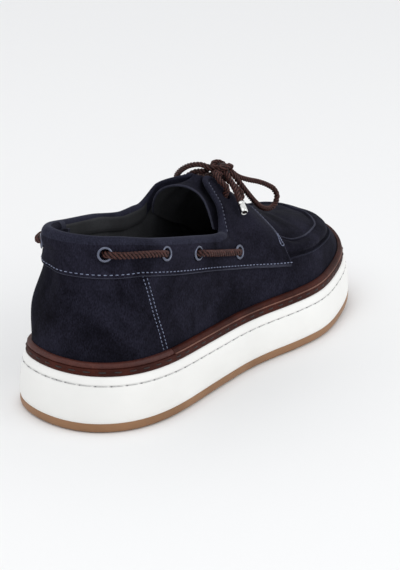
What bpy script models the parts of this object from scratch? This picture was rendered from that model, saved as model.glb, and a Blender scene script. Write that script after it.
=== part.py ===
"""A right boat shoe on a white cup sole: blender --background --python part.py

Lengths are in millimetres until a mesh is made. X runs from the back of the heel to the toe, Y from the
outer (lateral) side to the inner (medial) side, Z up from the floor. The origin is under the middle of
the sole's box.
"""

import math

import bmesh
import bpy
import numpy as np
from mathutils import Vector

MM = 0.001
ORIGIN = np.array([151.0, -2.0, 0.0])
GAP = 0.32

# ---- driving dimensions ------------------------------------------------------------------------------

SOLE_LENGTH = 300.0
CUP_TOP_AT_HEEL = 33.2
CUP_TOP_AT_WAIST = 29.0
WAIST_START = 160.0
TOE_SPRING = 9.3
SPRING_START = 210.0
GUM_THICKNESS = 5.6
CUP_DEPTH = 10.0
CUP_TOP_INSET = 4.0
LIP_INNER_INSET = 7.9
INSOLE_THICKNESS = 5.5
WELT_RISE = 7.4
UPPER_INSET = 8.2
WALL = 2.2
SEAM = 0.8
SADDLE = 1.4
PADDING = 0.9
LINING = 1.4
HOOK_DEPTH = 8.0
TONGUE_THICKNESS = 2.6
LACE = 4.4
BOW_LACE = 3.8
EYELET_HOLE = 6.0
EYELET_OUTER = 9.0
EYELET_FLANGE = 0.8
LACE_HOLE = 6.0
AGLET_LENGTH = 8.0
AGLET_OUTER = 4.6

# ---- the last, as ribs ---------------------------------------------------------------------------------
# A rib climbs from the welt to the collar, to the lacing slit or to the middle of the toe. Its four
# knots are the welt line, a low knot, a high knot and its top. The insets of the two middle knots are
# measured from the welt line towards the top. In the toe the low knot is the moccasin crease and the
# high knot is the apron seam. lift is 1 where the rib ends at an edge and 0 where it crosses the middle.

COLUMNS = ("sole_x", "sole_y", "low_in", "low_z", "high_in", "high_z", "top_x", "top_y", "top_z", "lift")
HEEL_RIB = (2.8, 0, 0.2, 62, 2.6, 86, 15, 0, 108.2, 1)
LATERAL_RIBS = [
    (5.8, -20.6, 0.6, 62, 3.2, 86, 18.5, -15, 108, 1),
    (20.2, -38.1, 0.6, 62, 3.0, 85, 29, -26.5, 106.8, 1),
    (50, -47.8, 1.5, 62, 3.1, 84, 52, -33.5, 101, 1),
    (86, -47.6, 0.7, 60, 1.7, 80, 85, -36, 93.4, 1),
    (116, -46.5, 0.5, 57, 1.9, 75, 114, -35.5, 86.6, 1),
    (131, -46.3, 0.6, 58, 3.0, 76, 125.5, -32.5, 85.2, 1),
    (146, -47.2, 0.8, 59, 6.2, 80, 137, -22, 98.2, 1),
    (160, -49.1, 1.1, 59, 10.1, 83, 151.5, -3, 109.4, 1),
    (177, -52.1, 2.3, 58, 13.0, 76, 170, -4, 97.5, 1),
    (193, -54.1, 3.2, 56.5, 14.8, 66.5, 188.5, -4.5, 85, 0.8),
    (203, -54.7, 4.0, 55, 12.3, 62.6, 195, 1, 81, 0),
    (219, -53.4, 4.1, 53.3, 10.7, 61, 212, 1, 73.6, 0.1),
    (241.8, -48.1, 4.2, 51.8, 11.3, 60.3, 226, 1, 69.2, 0.3),
    (266.5, -39, 5.4, 50.6, 16.7, 59.8, 233, 1, 67.4, 0.55),
    (287.3, -22.8, 7.4, 50.2, 21.7, 59.2, 236, 1, 66.6, 0.8),
]
TOE_RIB = (299.3, 2, 9.4, 50.4, 25.9, 59.3, 237, 1, 66.4, 0.9)
MEDIAL_RIBS = [
    (8, 21.4, 1.0, 62, 6.6, 86, 19, 13.5, 107.6, 1),
    (21.3, 39.8, 0.6, 62, 8.2, 85, 30.5, 23.2, 105.6, 1),
    (50, 46.5, 1.5, 62, 5.6, 84, 52.5, 31, 100.2, 1),
    (86, 42.3, 0.6, 60, 1.8, 80, 85, 33, 94.6, 1),
    (116, 39.2, 0.5, 57, 1.6, 75, 114, 32, 89.2, 1),
    (131, 38.9, 0.4, 58, 2.0, 76, 129, 31.5, 89.7, 1),
    (146, 40.4, 0.7, 59, 3.4, 80, 145, 29, 100.7, 1),
    (160, 42.5, 1.2, 59, 7.5, 83, 154, 10, 108.4, 1),
    (175, 45.2, 1.6, 58, 10.0, 76.5, 170, 8.5, 97.5, 1),
    (191, 48, 2.2, 56.5, 12.0, 67.5, 188.5, 7.5, 85, 0.8),
    (201, 49.3, 2.8, 55.4, 10.5, 63.6, 195, 1, 81, 0),
    (217, 50.5, 3.4, 54, 9.5, 62, 212, 1, 73.6, 0.1),
    (242, 49.3, 4.4, 52.6, 11.5, 62.8, 226, 1, 69.2, 0.3),
    (269, 41.5, 6.0, 51.8, 17.5, 62.9, 233, 1, 67.4, 0.55),
    (289.7, 25.8, 7.8, 51.2, 22.3, 61.6, 236, 1, 66.6, 0.8),
]
A_TOE = len(LATERAL_RIBS) + 1  # rib numbers run from 0 at the heel to A_TOE at the toe
A_SPINE = 11  # from this rib on, the two sides meet in the middle
A_SADDLE = 10.25  # the saddle's front edge reaches the middle at this rib
A_APEX = 8  # the top of the throat
A_COUNTER = 3.22  # the heel rand ends here
LATERAL, MEDIAL = -1, 1

# lower edge of the saddle: distance from the heel, height
BAND_EDGE = [(0, 89.2), (18, 88.3), (38, 86.5), (65, 80), (100, 71.8), (140, 61.9), (167, 55.6), (186, 51.4)]
# front edge of the saddle: share of the way up from its lower corner, rib number
FRONT_EDGE = [(0, 9.38), (0.2, 9.28), (0.38, 9.3), (0.54, 9.52), (0.72, 9.88), (0.87, 10.15), (1, 10.25)]
# rib and t of the collar's eyelets, from the heel forward
EYELETS = [(1.53, 0.915), (3.25, 0.885), (4.13, 0.83), (6.3, 0.602)]


# ---- curves through the rows ---------------------------------------------------------------------------


def periodic_spline(knots, rows):
    """Second derivatives of the closed cubic through rows; knots has one more entry, the closing one."""
    n = len(rows)
    steps = np.diff(knots)
    left = np.zeros((n, n))
    right = np.zeros(rows.shape)
    for i in range(n):
        before, after = steps[i - 1], steps[i]
        left[i, i - 1] += before
        left[i, i] += 2 * (before + after)
        left[i, (i + 1) % n] += after
        right[i] = 6 * ((rows[(i + 1) % n] - rows[i]) / after - (rows[i] - rows[i - 1]) / before)
    return np.linalg.solve(left, right)


def spline_at(knots, rows, bends, u):
    """Point and slope of the closed cubic at u."""
    i = min(int(np.searchsorted(knots, u, side="right")) - 1, len(rows) - 1)
    step = knots[i + 1] - knots[i]
    b = (u - knots[i]) / step
    a = 1 - b
    p, q = rows[i], rows[(i + 1) % len(rows)]
    m, k = bends[i], bends[(i + 1) % len(rows)]
    point = a * p + b * q + ((a**3 - a) * m + (b**3 - b) * k) * step**2 / 6
    slope = (q - p) / step + ((1 - 3 * a * a) * m + (3 * b * b - 1) * k) * step / 6
    return point, slope


def monotone_slopes(rows):
    """Slopes of a closed curve that never swings past its rows, one row apart."""
    ahead = np.roll(rows, -1, axis=0) - rows
    behind = np.roll(ahead, 1, axis=0)
    product = ahead * behind
    with np.errstate(divide="ignore", invalid="ignore"):
        harmonic = 2 * product / (ahead + behind)
    return np.where(product > 0, harmonic, 0.0)


def hermite(p, q, m, k, b):
    """Cubic from p to q with end slopes m and k, at b from 0 to 1."""
    return (
        p * (2 * b**3 - 3 * b**2 + 1)
        + m * (b**3 - 2 * b**2 + b)
        + q * (3 * b**2 - 2 * b**3)
        + k * (b**3 - b**2)
    )


ROWS = np.array([HEEL_RIB, *LATERAL_RIBS, TOE_RIB, *reversed(MEDIAL_RIBS)], float)
SOLE_ROWS = ROWS[:, :2]
SOLE_KNOTS = np.concatenate([[0], np.cumsum(np.linalg.norm(np.roll(SOLE_ROWS, -1, 0) - SOLE_ROWS, axis=1))])
SOLE_BENDS = periodic_spline(SOLE_KNOTS, SOLE_ROWS)
SHAPE_ROWS = ROWS[:, 2:]
SHAPE_SLOPES = monotone_slopes(SHAPE_ROWS)


def row_number(side, a):
    return a if side == LATERAL else (len(ROWS) - a) % len(ROWS)


def sole_edge(side, a):
    """Point of the sole's outline at rib a, and the unit vector that points out of it."""
    index = row_number(side, a)
    i = min(int(index), len(ROWS) - 1)
    u = SOLE_KNOTS[i] + (index - i) * (SOLE_KNOTS[i + 1] - SOLE_KNOTS[i])
    point, slope = spline_at(SOLE_KNOTS, SOLE_ROWS, SOLE_BENDS, u)
    outward = np.array([slope[1], -slope[0]])
    return point, outward / np.linalg.norm(outward)


def inset_point(side, a, inset):
    point, outward = sole_edge(side, a)
    return point - outward * inset


def shape_at(side, a):
    index = row_number(side, a)
    i = min(int(index), len(ROWS) - 1)
    j = (i + 1) % len(ROWS)
    return hermite(SHAPE_ROWS[i], SHAPE_ROWS[j], SHAPE_SLOPES[i], SHAPE_SLOPES[j], index - i)


def spring(x):
    """How far the sole has lifted off the floor at x."""
    run = max(0.0, x - SPRING_START) / (SOLE_LENGTH - SPRING_START)
    return TOE_SPRING * run * run


def cup_top(x):
    """Height of the cup's edge: it falls from the heel to the waist and then follows the sole's spring."""
    behind = 1 - min(1.0, max(0.0, x / WAIST_START))
    return CUP_TOP_AT_WAIST + (CUP_TOP_AT_HEEL - CUP_TOP_AT_WAIST) * behind * behind + spring(x)


def smooth_step(low, high, x):
    b = min(max((x - low) / (high - low), 0), 1)
    return b * b * (3 - 2 * b)


def rib_point(side, a, t):
    """Point of the last at rib a, from t = 0 at the welt line, over t = 1/3 and 2/3 at its knots, to 1."""
    low_in, low_z, high_in, high_z, top_x, top_y, top_z, lift = shape_at(side, a)
    foot = inset_point(side, a, UPPER_INSET)
    foot_z = cup_top(foot[0]) + WELT_RISE
    across = np.array([top_x, top_y]) - foot
    length = np.linalg.norm(across)
    knots = np.array([[0, foot_z], [low_in, low_z], [high_in, high_z], [length, top_z]])
    slopes = np.array(
        [
            [0.3 * low_in, low_z - foot_z],
            (knots[2] - knots[0]) / 2,
            (knots[3] - knots[1]) / 2,
            [length - high_in, lift * (top_z - high_z)],
        ]
    )
    i = min(int(3 * t), 2)
    inset, z = hermite(knots[i], knots[i + 1], slopes[i], slopes[i + 1], 3 * t - i)
    plan = foot + across / length * inset
    return np.array([plan[0], plan[1], z])


def rib_normal(side, a, t):
    """Unit normal of the last, pointing out of the shoe."""
    step = 0.02
    a_low, a_high = max(a - step, 0), min(a + step, A_TOE)
    t_low, t_high = max(t - step, 0), min(t + step, 1)
    along = rib_point(side, a_high, t) - rib_point(side, a_low, t)
    up = rib_point(side, a, t_high) - rib_point(side, a, t_low)
    normal = np.cross(along, up) * -side
    return normal / np.linalg.norm(normal)


def solve(function, low, high):
    """The argument between low and high at which a rising function is zero."""
    for _ in range(40):
        middle = (low + high) / 2
        low, high = (middle, high) if function(middle) < 0 else (low, middle)
    return (low + high) / 2


def band_height(x):
    return float(np.interp(x, *zip(*BAND_EDGE)))


def band_edge_t(side, a):
    """Where rib a crosses the saddle's lower edge."""

    def miss(t):
        x, _, z = rib_point(side, a, t)
        return z - band_height(x)

    return solve(miss, 0.05, 1.0)


def front_edge(share):
    """Rib number of the saddle's front edge, share of the way up from its lower corner."""
    return float(np.interp(share, *zip(*FRONT_EDGE)))


def stations(breaks, counts):
    """Rib numbers between the breaks, counts of them in each stretch, evenly spaced, both ends included."""
    found = [breaks[0]]
    for low, high, count in zip(breaks, breaks[1:], counts):
        found += list(np.linspace(low, high, count + 1)[1:])
    return found


STATIONS = stations([0, 3, 6, 8, A_SPINE, A_TOE], [5, 4, 3, 4, 8])


def ring(ribs):
    """Both sides of the closed loop: the lateral ribs from the heel to the toe, then the medial ones back."""
    return [(LATERAL, a) for a in ribs] + [(MEDIAL, a) for a in reversed(ribs[1:-1])]


# ---- meshes --------------------------------------------------------------------------------------------


def material(name, colour, roughness, metallic=0.0):
    made = bpy.data.materials.new(name)
    made.use_nodes = True
    shader = made.node_tree.nodes["Principled BSDF"]
    shader.inputs["Base Color"].default_value = (*colour, 1)
    shader.inputs["Roughness"].default_value = roughness
    shader.inputs["Metallic"].default_value = metallic
    return made


def in_metres(point):
    return Vector((np.asarray(point, float) - ORIGIN) * MM)


def add_object(name, data, finish, sharp_degrees=35):
    made = bpy.data.objects.new(name, data)
    bpy.context.scene.collection.objects.link(made)
    data.materials.append(finish)
    if isinstance(data, bpy.types.Mesh):
        data.shade_smooth()
        data.set_sharp_from_angle(angle=math.radians(sharp_degrees))
    return made


def mesh_from(name, points, faces, finish):
    """A closed mesh object from points in millimetres; points that coincide are joined."""
    shape = bmesh.new()
    corners = [shape.verts.new(in_metres(p)) for p in points]
    for face in faces:
        shape.faces.new([corners[i] for i in face])
    bmesh.ops.remove_doubles(shape, verts=shape.verts, dist=0.01 * MM)
    bmesh.ops.dissolve_degenerate(shape, edges=shape.edges, dist=0.001 * MM)
    bmesh.ops.recalc_face_normals(shape, faces=shape.faces)
    bmesh.ops.triangulate(shape, faces=shape.faces)
    data = bpy.data.meshes.new(name)
    shape.to_mesh(data)
    shape.free()
    return add_object(name, data, finish)


def loops_faces(loop_count, length, closed_around, closed_across):
    """Quads between neighbouring loops of equal length; the points are stored loop after loop."""
    faces = []
    for i in range(loop_count if closed_across else loop_count - 1):
        j = (i + 1) % loop_count
        for k in range(length if closed_around else length - 1):
            m = (k + 1) % length
            faces.append((i * length + k, i * length + m, j * length + m, j * length + k))
    return faces


def turned(name, profile, sides, place, axis, finish):
    """A ring turned from a closed profile of (radius, height) about axis, standing at place."""
    points = []
    axis = Vector(axis).normalized()
    first = axis.orthogonal().normalized()
    second = axis.cross(first)
    for radius, height in profile:
        for k in range(sides):
            angle = 2 * math.pi * k / sides
            spoke = first * math.cos(angle) + second * math.sin(angle)
            points.append(np.array(place) + np.array(spoke * radius + axis * height))
    return mesh_from(name, points, loops_faces(len(profile), sides, True, True), finish)


def tube(name, path, diameter, finish, resolution=2):
    data = bpy.data.curves.new(name, "CURVE")
    data.dimensions = "3D"
    data.bevel_depth = diameter / 2 * MM
    data.bevel_resolution = resolution
    data.use_fill_caps = True
    spline = data.splines.new("POLY")
    spline.points.add(len(path) - 1)
    for point, place in zip(spline.points, path):
        point.co = (*in_metres(place), 1)
    return add_object(name, data, finish)


def cutter(name, place, axis, diameter, length):
    """A hidden cylinder for a Boolean, centred at place."""
    shape = bmesh.new()
    radius = diameter / 2 * MM
    bmesh.ops.create_cone(shape, cap_ends=True, segments=12, radius1=radius, radius2=radius, depth=length * MM)
    data = bpy.data.meshes.new(name)
    shape.to_mesh(data)
    shape.free()
    made = bpy.data.objects.new(name, data)
    bpy.context.scene.collection.objects.link(made)
    made.location = in_metres(place)
    made.rotation_mode = "QUATERNION"
    made.rotation_quaternion = Vector((0, 0, 1)).rotation_difference(Vector(axis))
    made.hide_render = True
    made.display_type = "WIRE"
    return made


def cut(target, tool):
    modifier = target.modifiers.new(tool.name, "BOOLEAN")
    modifier.object = tool
    modifier.operation = "DIFFERENCE"
    modifier.solver = "EXACT"


# ---- sole ----------------------------------------------------------------------------------------------

SPINE_HEEL, SPINE_TOE = 42.0, 252.0


def sole_loop(inset, height):
    """One loop around the sole: inset from the outline, at height(x)."""
    points = []
    for side, a in ring(STATIONS):
        x, y = inset_point(side, a, inset)
        points.append((x, y, height(x)))
    return points


def inner_loop(outer, share, height):
    """The loop moved towards the sole's middle line by share; at 1 its two sides coincide."""
    points = []
    for (side, a), (x, y, _) in zip(ring(STATIONS), outer):
        middle = SPINE_HEEL + (SPINE_TOE - SPINE_HEEL) * smooth_step(0, 1, a / A_TOE)
        nx, ny = x + (middle - x) * share, y * (1 - share)
        points.append((nx, ny, height(nx)))
    return points


def sole_body(name, sections, finish, bottom, top):
    """A closed body from (inset, height function) sections, bottom to top, with its two faces filled."""
    loops = [sole_loop(inset, height) for inset, height in sections]
    low = [inner_loop(loops[0], share, bottom) for share in (1.0, 0.45)]
    high = [inner_loop(loops[-1], share, top) for share in (0.45, 1.0)]
    every = low + loops + high
    points = [p for loop in every for p in loop]
    return mesh_from(name, points, loops_faces(len(every), len(loops[0]), True, False), finish)


def build_outsole(finish):
    def at(rise):
        return lambda x: spring(x) + rise

    sections = [(2.0, at(0)), (0.3, at(1.9)), (0.0, at(GUM_THICKNESS - GAP))]
    return sole_body("outsole", sections, finish, at(0), at(GUM_THICKNESS - GAP))


def build_midsole(finish):
    def from_floor(rise):
        return lambda x: spring(x) + rise

    def from_top(drop):
        return lambda x: cup_top(x) - drop

    sections = [
        (0.2, from_floor(GUM_THICKNESS)),
        (0.0, from_floor(GUM_THICKNESS + 3.0)),
        (0.6, from_floor(GUM_THICKNESS + 8.0)),
        (1.8, from_top(6.0)),
        (3.2, from_top(1.4)),
        (CUP_TOP_INSET + 0.3, from_top(0)),
        (LIP_INNER_INSET, from_top(0)),
        (LIP_INNER_INSET, from_top(CUP_DEPTH)),
    ]
    return sole_body("midsole", sections, finish, from_floor(GUM_THICKNESS), from_top(CUP_DEPTH))


def build_insole(finish):
    inset = UPPER_INSET + WALL + GAP
    low = CUP_DEPTH - GAP
    high = CUP_DEPTH - GAP - INSOLE_THICKNESS
    sections = [
        (inset, lambda x: cup_top(x) - low),
        (inset, lambda x: cup_top(x) - high),
    ]
    return sole_body("insole", sections, finish, sections[0][1], sections[-1][1])


def ring_body(name, section, finish):
    """A closed ring around the shoe from a closed section of (inset, height above the cup's edge)."""
    loops = [sole_loop(inset, lambda x, rise=rise: cup_top(x) + rise) for inset, rise in section]
    points = [p for loop in loops for p in loop]
    return mesh_from(name, points, loops_faces(len(loops), len(loops[0]), True, True), finish)


def strip_body(name, section, places, finish):
    """An open strip along (side, rib) places, from a closed section, with its two ends filled."""
    points = []
    for inset, rise in section:
        for side, a in places:
            x, y = inset_point(side, a, inset)
            points.append((x, y, cup_top(x) + rise))
    length = len(places)
    faces = loops_faces(len(section), length, False, True)
    faces.append([i * length for i in range(len(section))])
    faces.append([i * length + length - 1 for i in reversed(range(len(section)))])
    return mesh_from(name, points, faces, finish)


WELT_SECTION = [(4.2, GAP), (4.3, 2.6), (5.0, 3.9), (7.7, 4.3), (7.7, GAP)]
RAND_SECTION = [(5.7, 4.7), (5.3, 5.8), (6.0, 7.1), (7.6, 7.4), (7.6, 4.7)]


def build_rands(finish):
    """The rolled bead over the welt: one piece around the heel and one around the front."""
    gap = 0.006  # in rib numbers, about 0.3 mm at the joint
    heel = [a for a in STATIONS if a < A_COUNTER - 0.1] + [A_COUNTER - gap]
    front = [A_COUNTER + gap] + [a for a in STATIONS if a > A_COUNTER + 0.1]
    around_heel = [(LATERAL, a) for a in reversed(heel)] + [(MEDIAL, a) for a in heel[1:]]
    around_front = [(LATERAL, a) for a in front] + [(MEDIAL, a) for a in reversed(front[:-1])]
    strip_body("rand_heel", RAND_SECTION, around_heel, finish)
    strip_body("rand_front", RAND_SECTION, around_front, finish)


# ---- upper ---------------------------------------------------------------------------------------------

UPPER_T = [0, 0.16, 0.3, 0.333, 0.366, 0.5, 0.62, 0.655, 0.685, 0.8, 0.9, 1.0]
LINING_T = [1.0, 0.85, 0.65, 0.45, 0.25, 0.0]


def moccasin_relief(a, t):
    """Height of the toe's seams over the last: a crease, a puffed roll above it and a thin apron ridge."""
    edge = front_edge((t - 0.28) / 0.72)
    crease = -0.9 * math.exp(-(((t - 1 / 3) / 0.02) ** 2))
    roll = 1.1 * math.sin(math.pi * min(max((t - 1 / 3) * 3, 0), 1)) ** 1.5
    ridge = 0.8 * math.exp(-(((t - 2 / 3) / 0.014) ** 2))
    apron = -0.4 * smooth_step(0.667, 0.70, t)
    return smooth_step(9.0, 9.5, a) * crease + smooth_step(edge + 0.1, edge + 0.7, a) * (roll + ridge + apron)


def middle_normal(side, a, t):
    """Normal that agrees between the two sides where they meet."""
    if a < A_SPINE or t < 0.995:
        return rib_normal(side, a, t)
    both = rib_normal(LATERAL, min(a, A_TOE - 0.2), 0.985) + rib_normal(MEDIAL, min(a, A_TOE - 0.2), 0.985)
    return both / np.linalg.norm(both)


def last_offset(side, a, t, offset):
    return rib_point(side, a, t) + middle_normal(side, a, t) * offset


def skirt_point(side, a, offset):
    """Foot of the upper, down in the cup."""
    x, y = inset_point(side, a, UPPER_INSET - offset)
    return np.array([x, y, cup_top(x) - CUP_DEPTH + GAP])


def build_upper(finish):
    places = ring(STATIONS)
    loops = [[skirt_point(side, a, 0.0) for side, a in places]]
    for t in UPPER_T:
        loops.append([last_offset(side, a, t, moccasin_relief(a, t)) for side, a in places])
    for t in LINING_T:
        loops.append([last_offset(side, a, t, -WALL) for side, a in places])
    loops.append([skirt_point(side, a, -WALL) for side, a in places])
    points = [p for loop in loops for p in loop]
    length = len(places)
    rim = len(UPPER_T)
    faces = []
    for face in loops_faces(len(loops), length, True, True):
        loop, k = divmod(face[0], length)
        m = face[1] % length
        if loop == rim and min(places[k][1], places[m][1]) >= A_SPINE:
            continue
        faces.append(face)
    return mesh_from("upper", points, faces, finish)


SADDLE_STATIONS = [a for a in STATIONS if a <= A_APEX] + [8.6, 9.2, 9.75, A_SADDLE]
SADDLE_SHARES = (0.0, 0.2, 0.38, 0.54, 0.72, 0.87)


def edge_direction(side, a):
    """Unit vector that carries the rib on past its top edge."""
    beyond = rib_point(side, a, 1.0) - rib_point(side, a, 0.98)
    return beyond / np.linalg.norm(beyond)


def hook_t(side, a):
    """Where the folded-in flap of the saddle ends, HOOK_DEPTH below the edge."""
    last_third = np.linalg.norm(rib_point(side, a, 1.0) - rib_point(side, a, 2 / 3))
    return 1 - HOOK_DEPTH / last_third / 3


def saddle_place(side, station, share):
    """Rib and t of the saddle's skin, share of the way up its section at this station."""
    forward = max(0.0, station - A_APEX) / (A_SADDLE - A_APEX)
    a = station + (front_edge(share) - A_SADDLE) * forward
    low = band_edge_t(side, a)
    return a, low + (1 - low) * share


def saddle_section(side, station):
    """Closed section: the outer skin, the rolled edge and the flap folded inside, around the upper's wall."""
    inside = -WALL - SEAM
    top = rib_point(side, station, 1.0)
    normal = middle_normal(side, station, 1.0)
    beyond = edge_direction(side, station)
    section = []
    for share, padding in zip(SADDLE_SHARES, (0, 0, 0, 0, 0.3, PADDING)):
        section.append(last_offset(side, *saddle_place(side, station, share), SEAM + SADDLE + padding))
    centre = top - normal * WALL / 2
    for degrees in (15, 65, 120):
        angle = math.radians(degrees)
        radius = WALL / 2 + SEAM + SADDLE + PADDING * math.cos(angle / 2)
        section.append(centre + (normal * math.cos(angle) + beyond * math.sin(angle)) * radius)
    flap = hook_t(side, station)
    section += [last_offset(side, station, flap, inside - LINING), last_offset(side, station, flap, inside)]
    section += [top + normal * inside + beyond * SEAM, top + normal * SEAM + beyond * SEAM]
    for share in reversed(SADDLE_SHARES):
        section.append(last_offset(side, *saddle_place(side, station, share), SEAM))
    return section


def build_saddle(finish):
    """Collar band and lacing facings in one overlay, from the front of one side around the heel."""
    places = [(LATERAL, a) for a in reversed(SADDLE_STATIONS)] + [(MEDIAL, a) for a in SADDLE_STATIONS[1:]]
    sections = [saddle_section(side, a) for side, a in places]
    size, length = len(sections[0]), len(sections)
    points = [sections[k][i] for i in range(size) for k in range(length)]
    faces = loops_faces(size, length, False, True)
    faces.append([i * length for i in range(size)])
    faces.append([i * length + length - 1 for i in reversed(range(size))])
    return mesh_from("saddle", points, faces, finish)


# ---- tongue --------------------------------------------------------------------------------------------

TONGUE_DEPTH = WALL + SEAM + LINING + 0.8
TONGUE_STATIONS = (8.0, 8.6, 9.2, 9.8, 10.4, 10.9)
TONGUE_T = (0.66, 0.74, 0.82, 0.9, 0.97)
# the tongue's free rim inside the collar, from the lateral side over the top to the medial side
TONGUE_RIM = [
    (132, -22.6, 86), (134, -18.2, 94.5), (136.2, -12.6, 101.6), (137, -6, 106.1),
    (136.2, 1.5, 108.4), (135, 11, 107.4), (132.5, 18.5, 103), (131.5, 22.5, 94),
]


def tongue_row(a, depth):
    """One arch of the tongue, under the facings from the lateral side across to the medial one."""
    lateral = [last_offset(LATERAL, a, t, -depth) for t in TONGUE_T]
    medial = [last_offset(MEDIAL, a, t, -depth) for t in reversed(TONGUE_T)]
    start, end = lateral[-1], medial[0]
    reach = (end[1] - start[1]) * 0.9
    lean_out = (lateral[-1] - lateral[-2]) / np.linalg.norm(lateral[-1] - lateral[-2]) * reach
    lean_in = (medial[1] - medial[0]) / np.linalg.norm(medial[1] - medial[0]) * reach
    middle = [hermite(start, end, lean_out, lean_in, b) for b in (0.25, 0.5, 0.75)]
    return lateral + middle + medial


def tongue_rim(depth):
    """The rim's points, as many as a row has, moved in towards the foot by depth."""
    route = np.array(TONGUE_RIM, float)
    centre = np.array([route[0][0], (route[0][1] + route[-1][1]) / 2, route[0][2]])
    ends = np.vstack([2 * route[0] - route[1], route, 2 * route[-1] - route[-2]])
    slopes = (ends[2:] - ends[:-2]) / 2
    points = []
    for along in np.linspace(0, len(route) - 1, 2 * len(TONGUE_T) + 3):
        i = min(int(along), len(route) - 2)
        point = hermite(route[i], route[i + 1], slopes[i], slopes[i + 1], along - i)
        inward = centre - point
        points.append(point + inward / np.linalg.norm(inward) * depth)
    return points


def build_tongue(finish):
    layers = []
    for depth in (0.0, TONGUE_THICKNESS):
        rows = [tongue_row(a, TONGUE_DEPTH + depth) for a in TONGUE_STATIONS]
        rim = tongue_rim(depth)
        between = [[p + (q - p) * b + np.array([0, 0, -0.8]) for p, q in zip(rim, rows[0])] for b in (0.35, 0.7)]
        layers.append([rim, *between, *rows])
    top, bottom = layers
    length = len(top[0])
    loops = top + list(reversed(bottom))
    points = [p for loop in loops for p in loop]
    faces = loops_faces(len(loops), length, False, True)
    half = len(top)
    for k in (0, length - 1):
        for i in range(half - 1):
            j = len(loops) - 1 - i
            faces.append((i * length + k, (i + 1) * length + k, (j - 1) * length + k, j * length + k))
    return mesh_from("tongue", points, faces, finish)


# ---- eyelets and lace ----------------------------------------------------------------------------------

EYELET_SIDES = 12
EYELET_FACE = SEAM + SADDLE + PADDING + GAP


def side_word(side):
    return "lateral" if side == LATERAL else "medial"


def eyelet_frames(side):
    """Place on the last and outward normal of each collar eyelet, from the heel forward."""
    return [(rib_point(side, a, t), rib_normal(side, a, t)) for a, t in EYELETS]


def build_eyelets(finish, upper, saddle):
    face = EYELET_FACE
    barrel = EYELET_HOLE / 2 + 0.5
    profile = [
        (EYELET_HOLE / 2 + 0.2, face + EYELET_FLANGE),
        (EYELET_OUTER / 2 - 0.6, face + EYELET_FLANGE),
        (EYELET_OUTER / 2, face),
        (barrel, face),
        (barrel, -1.0),
        (EYELET_HOLE / 2, -1.0),
    ]
    for side in (LATERAL, MEDIAL):
        for number, (place, normal) in enumerate(eyelet_frames(side), 1):
            name = f"eyelet_{side_word(side)}_{number}"
            turned(name, profile, EYELET_SIDES, place, normal, finish)
            tool = cutter(f"cut_{name}", place, normal, 2 * barrel + 2 * GAP + 0.3, 24)
            cut(upper, tool)
            cut(saddle, tool)


# the facings' punched holes: side, rib, t
BAR_HOLES = ((LATERAL, 8.68, 0.85), (MEDIAL, 8.95, 0.84))
TOP_HOLES = ((LATERAL, 7.95, 0.87), (MEDIAL, 8.15, 0.86))
UNDER_KNOT = {LATERAL: (161.0, -8.5, 110.0), MEDIAL: (163.2, 4.6, 110.2)}


def cut_lace_holes(upper, saddle):
    for side, a, t in TOP_HOLES + BAR_HOLES:
        place, normal = rib_point(side, a, t), rib_normal(side, a, t)
        tool = cutter(f"cut_{side_word(side)}_hole_{a}", place, normal, LACE_HOLE, 12)
        cut(upper, tool)
        cut(saddle, tool)


def lace_entry(place, normal, along, height):
    """A lace's way out of a hole at place, turning over the hole's rim into the direction along."""
    return [place + normal * 0.6, place + normal * 4.5, place + normal * (height - 0.4) + along * 1.4]


def lace_between(places, height):
    """A lace over the last from hole to hole; places hold (side, rib, t) for each point."""
    points = [rib_point(*place) for place in places]
    normals = [rib_normal(*place) for place in places]
    raised = [p + n * height for p, n in zip(points, normals)]
    first, last = raised[1] - raised[0], raised[-2] - raised[-1]
    start = lace_entry(points[0], normals[0], first / np.linalg.norm(first), height)
    end = lace_entry(points[-1], normals[-1], last / np.linalg.norm(last), height)
    return start + raised[1:-1] + list(reversed(end))


def build_side_runs(finish):
    for side in (LATERAL, MEDIAL):
        for word, (start, end) in (("rear", EYELETS[:2]), ("front", EYELETS[2:])):
            (a, t), (b, u) = start, end
            places = [(side, a + (b - a) * k, t + (u - t) * k) for k in (0, 0.2, 0.5, 0.8, 1)]
            tube(f"lace_run_{side_word(side)}_{word}", lace_between(places, 7.2), LACE, finish)


def build_throat_lace(finish):
    """A bar across the throat, and the two laces that come out of the top holes up to the knot."""
    edges = [(side, a, 1.0) for side, a, _ in BAR_HOLES]
    path = lace_between([BAR_HOLES[0], *edges, BAR_HOLES[1]], 6.3)
    path.insert(4, (path[3] + path[4]) / 2 + np.array([0.6, 0, 1.4]))
    tube("lace_bar", path, BOW_LACE, finish)
    for side, a, t in TOP_HOLES:
        over = [last_offset(side, a + 0.12, 0.94, 5.2), last_offset(side, a + 0.3, 1.0, 5.4)]
        hole, normal = rib_point(side, a, t), rib_normal(side, a, t)
        along = over[0] - hole
        path = lace_entry(hole, normal, along / np.linalg.norm(along), 5.4)
        path += [*over, np.array(UNDER_KNOT[side])]
        tube(f"lace_top_{side_word(side)}", path, BOW_LACE, finish)


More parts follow.
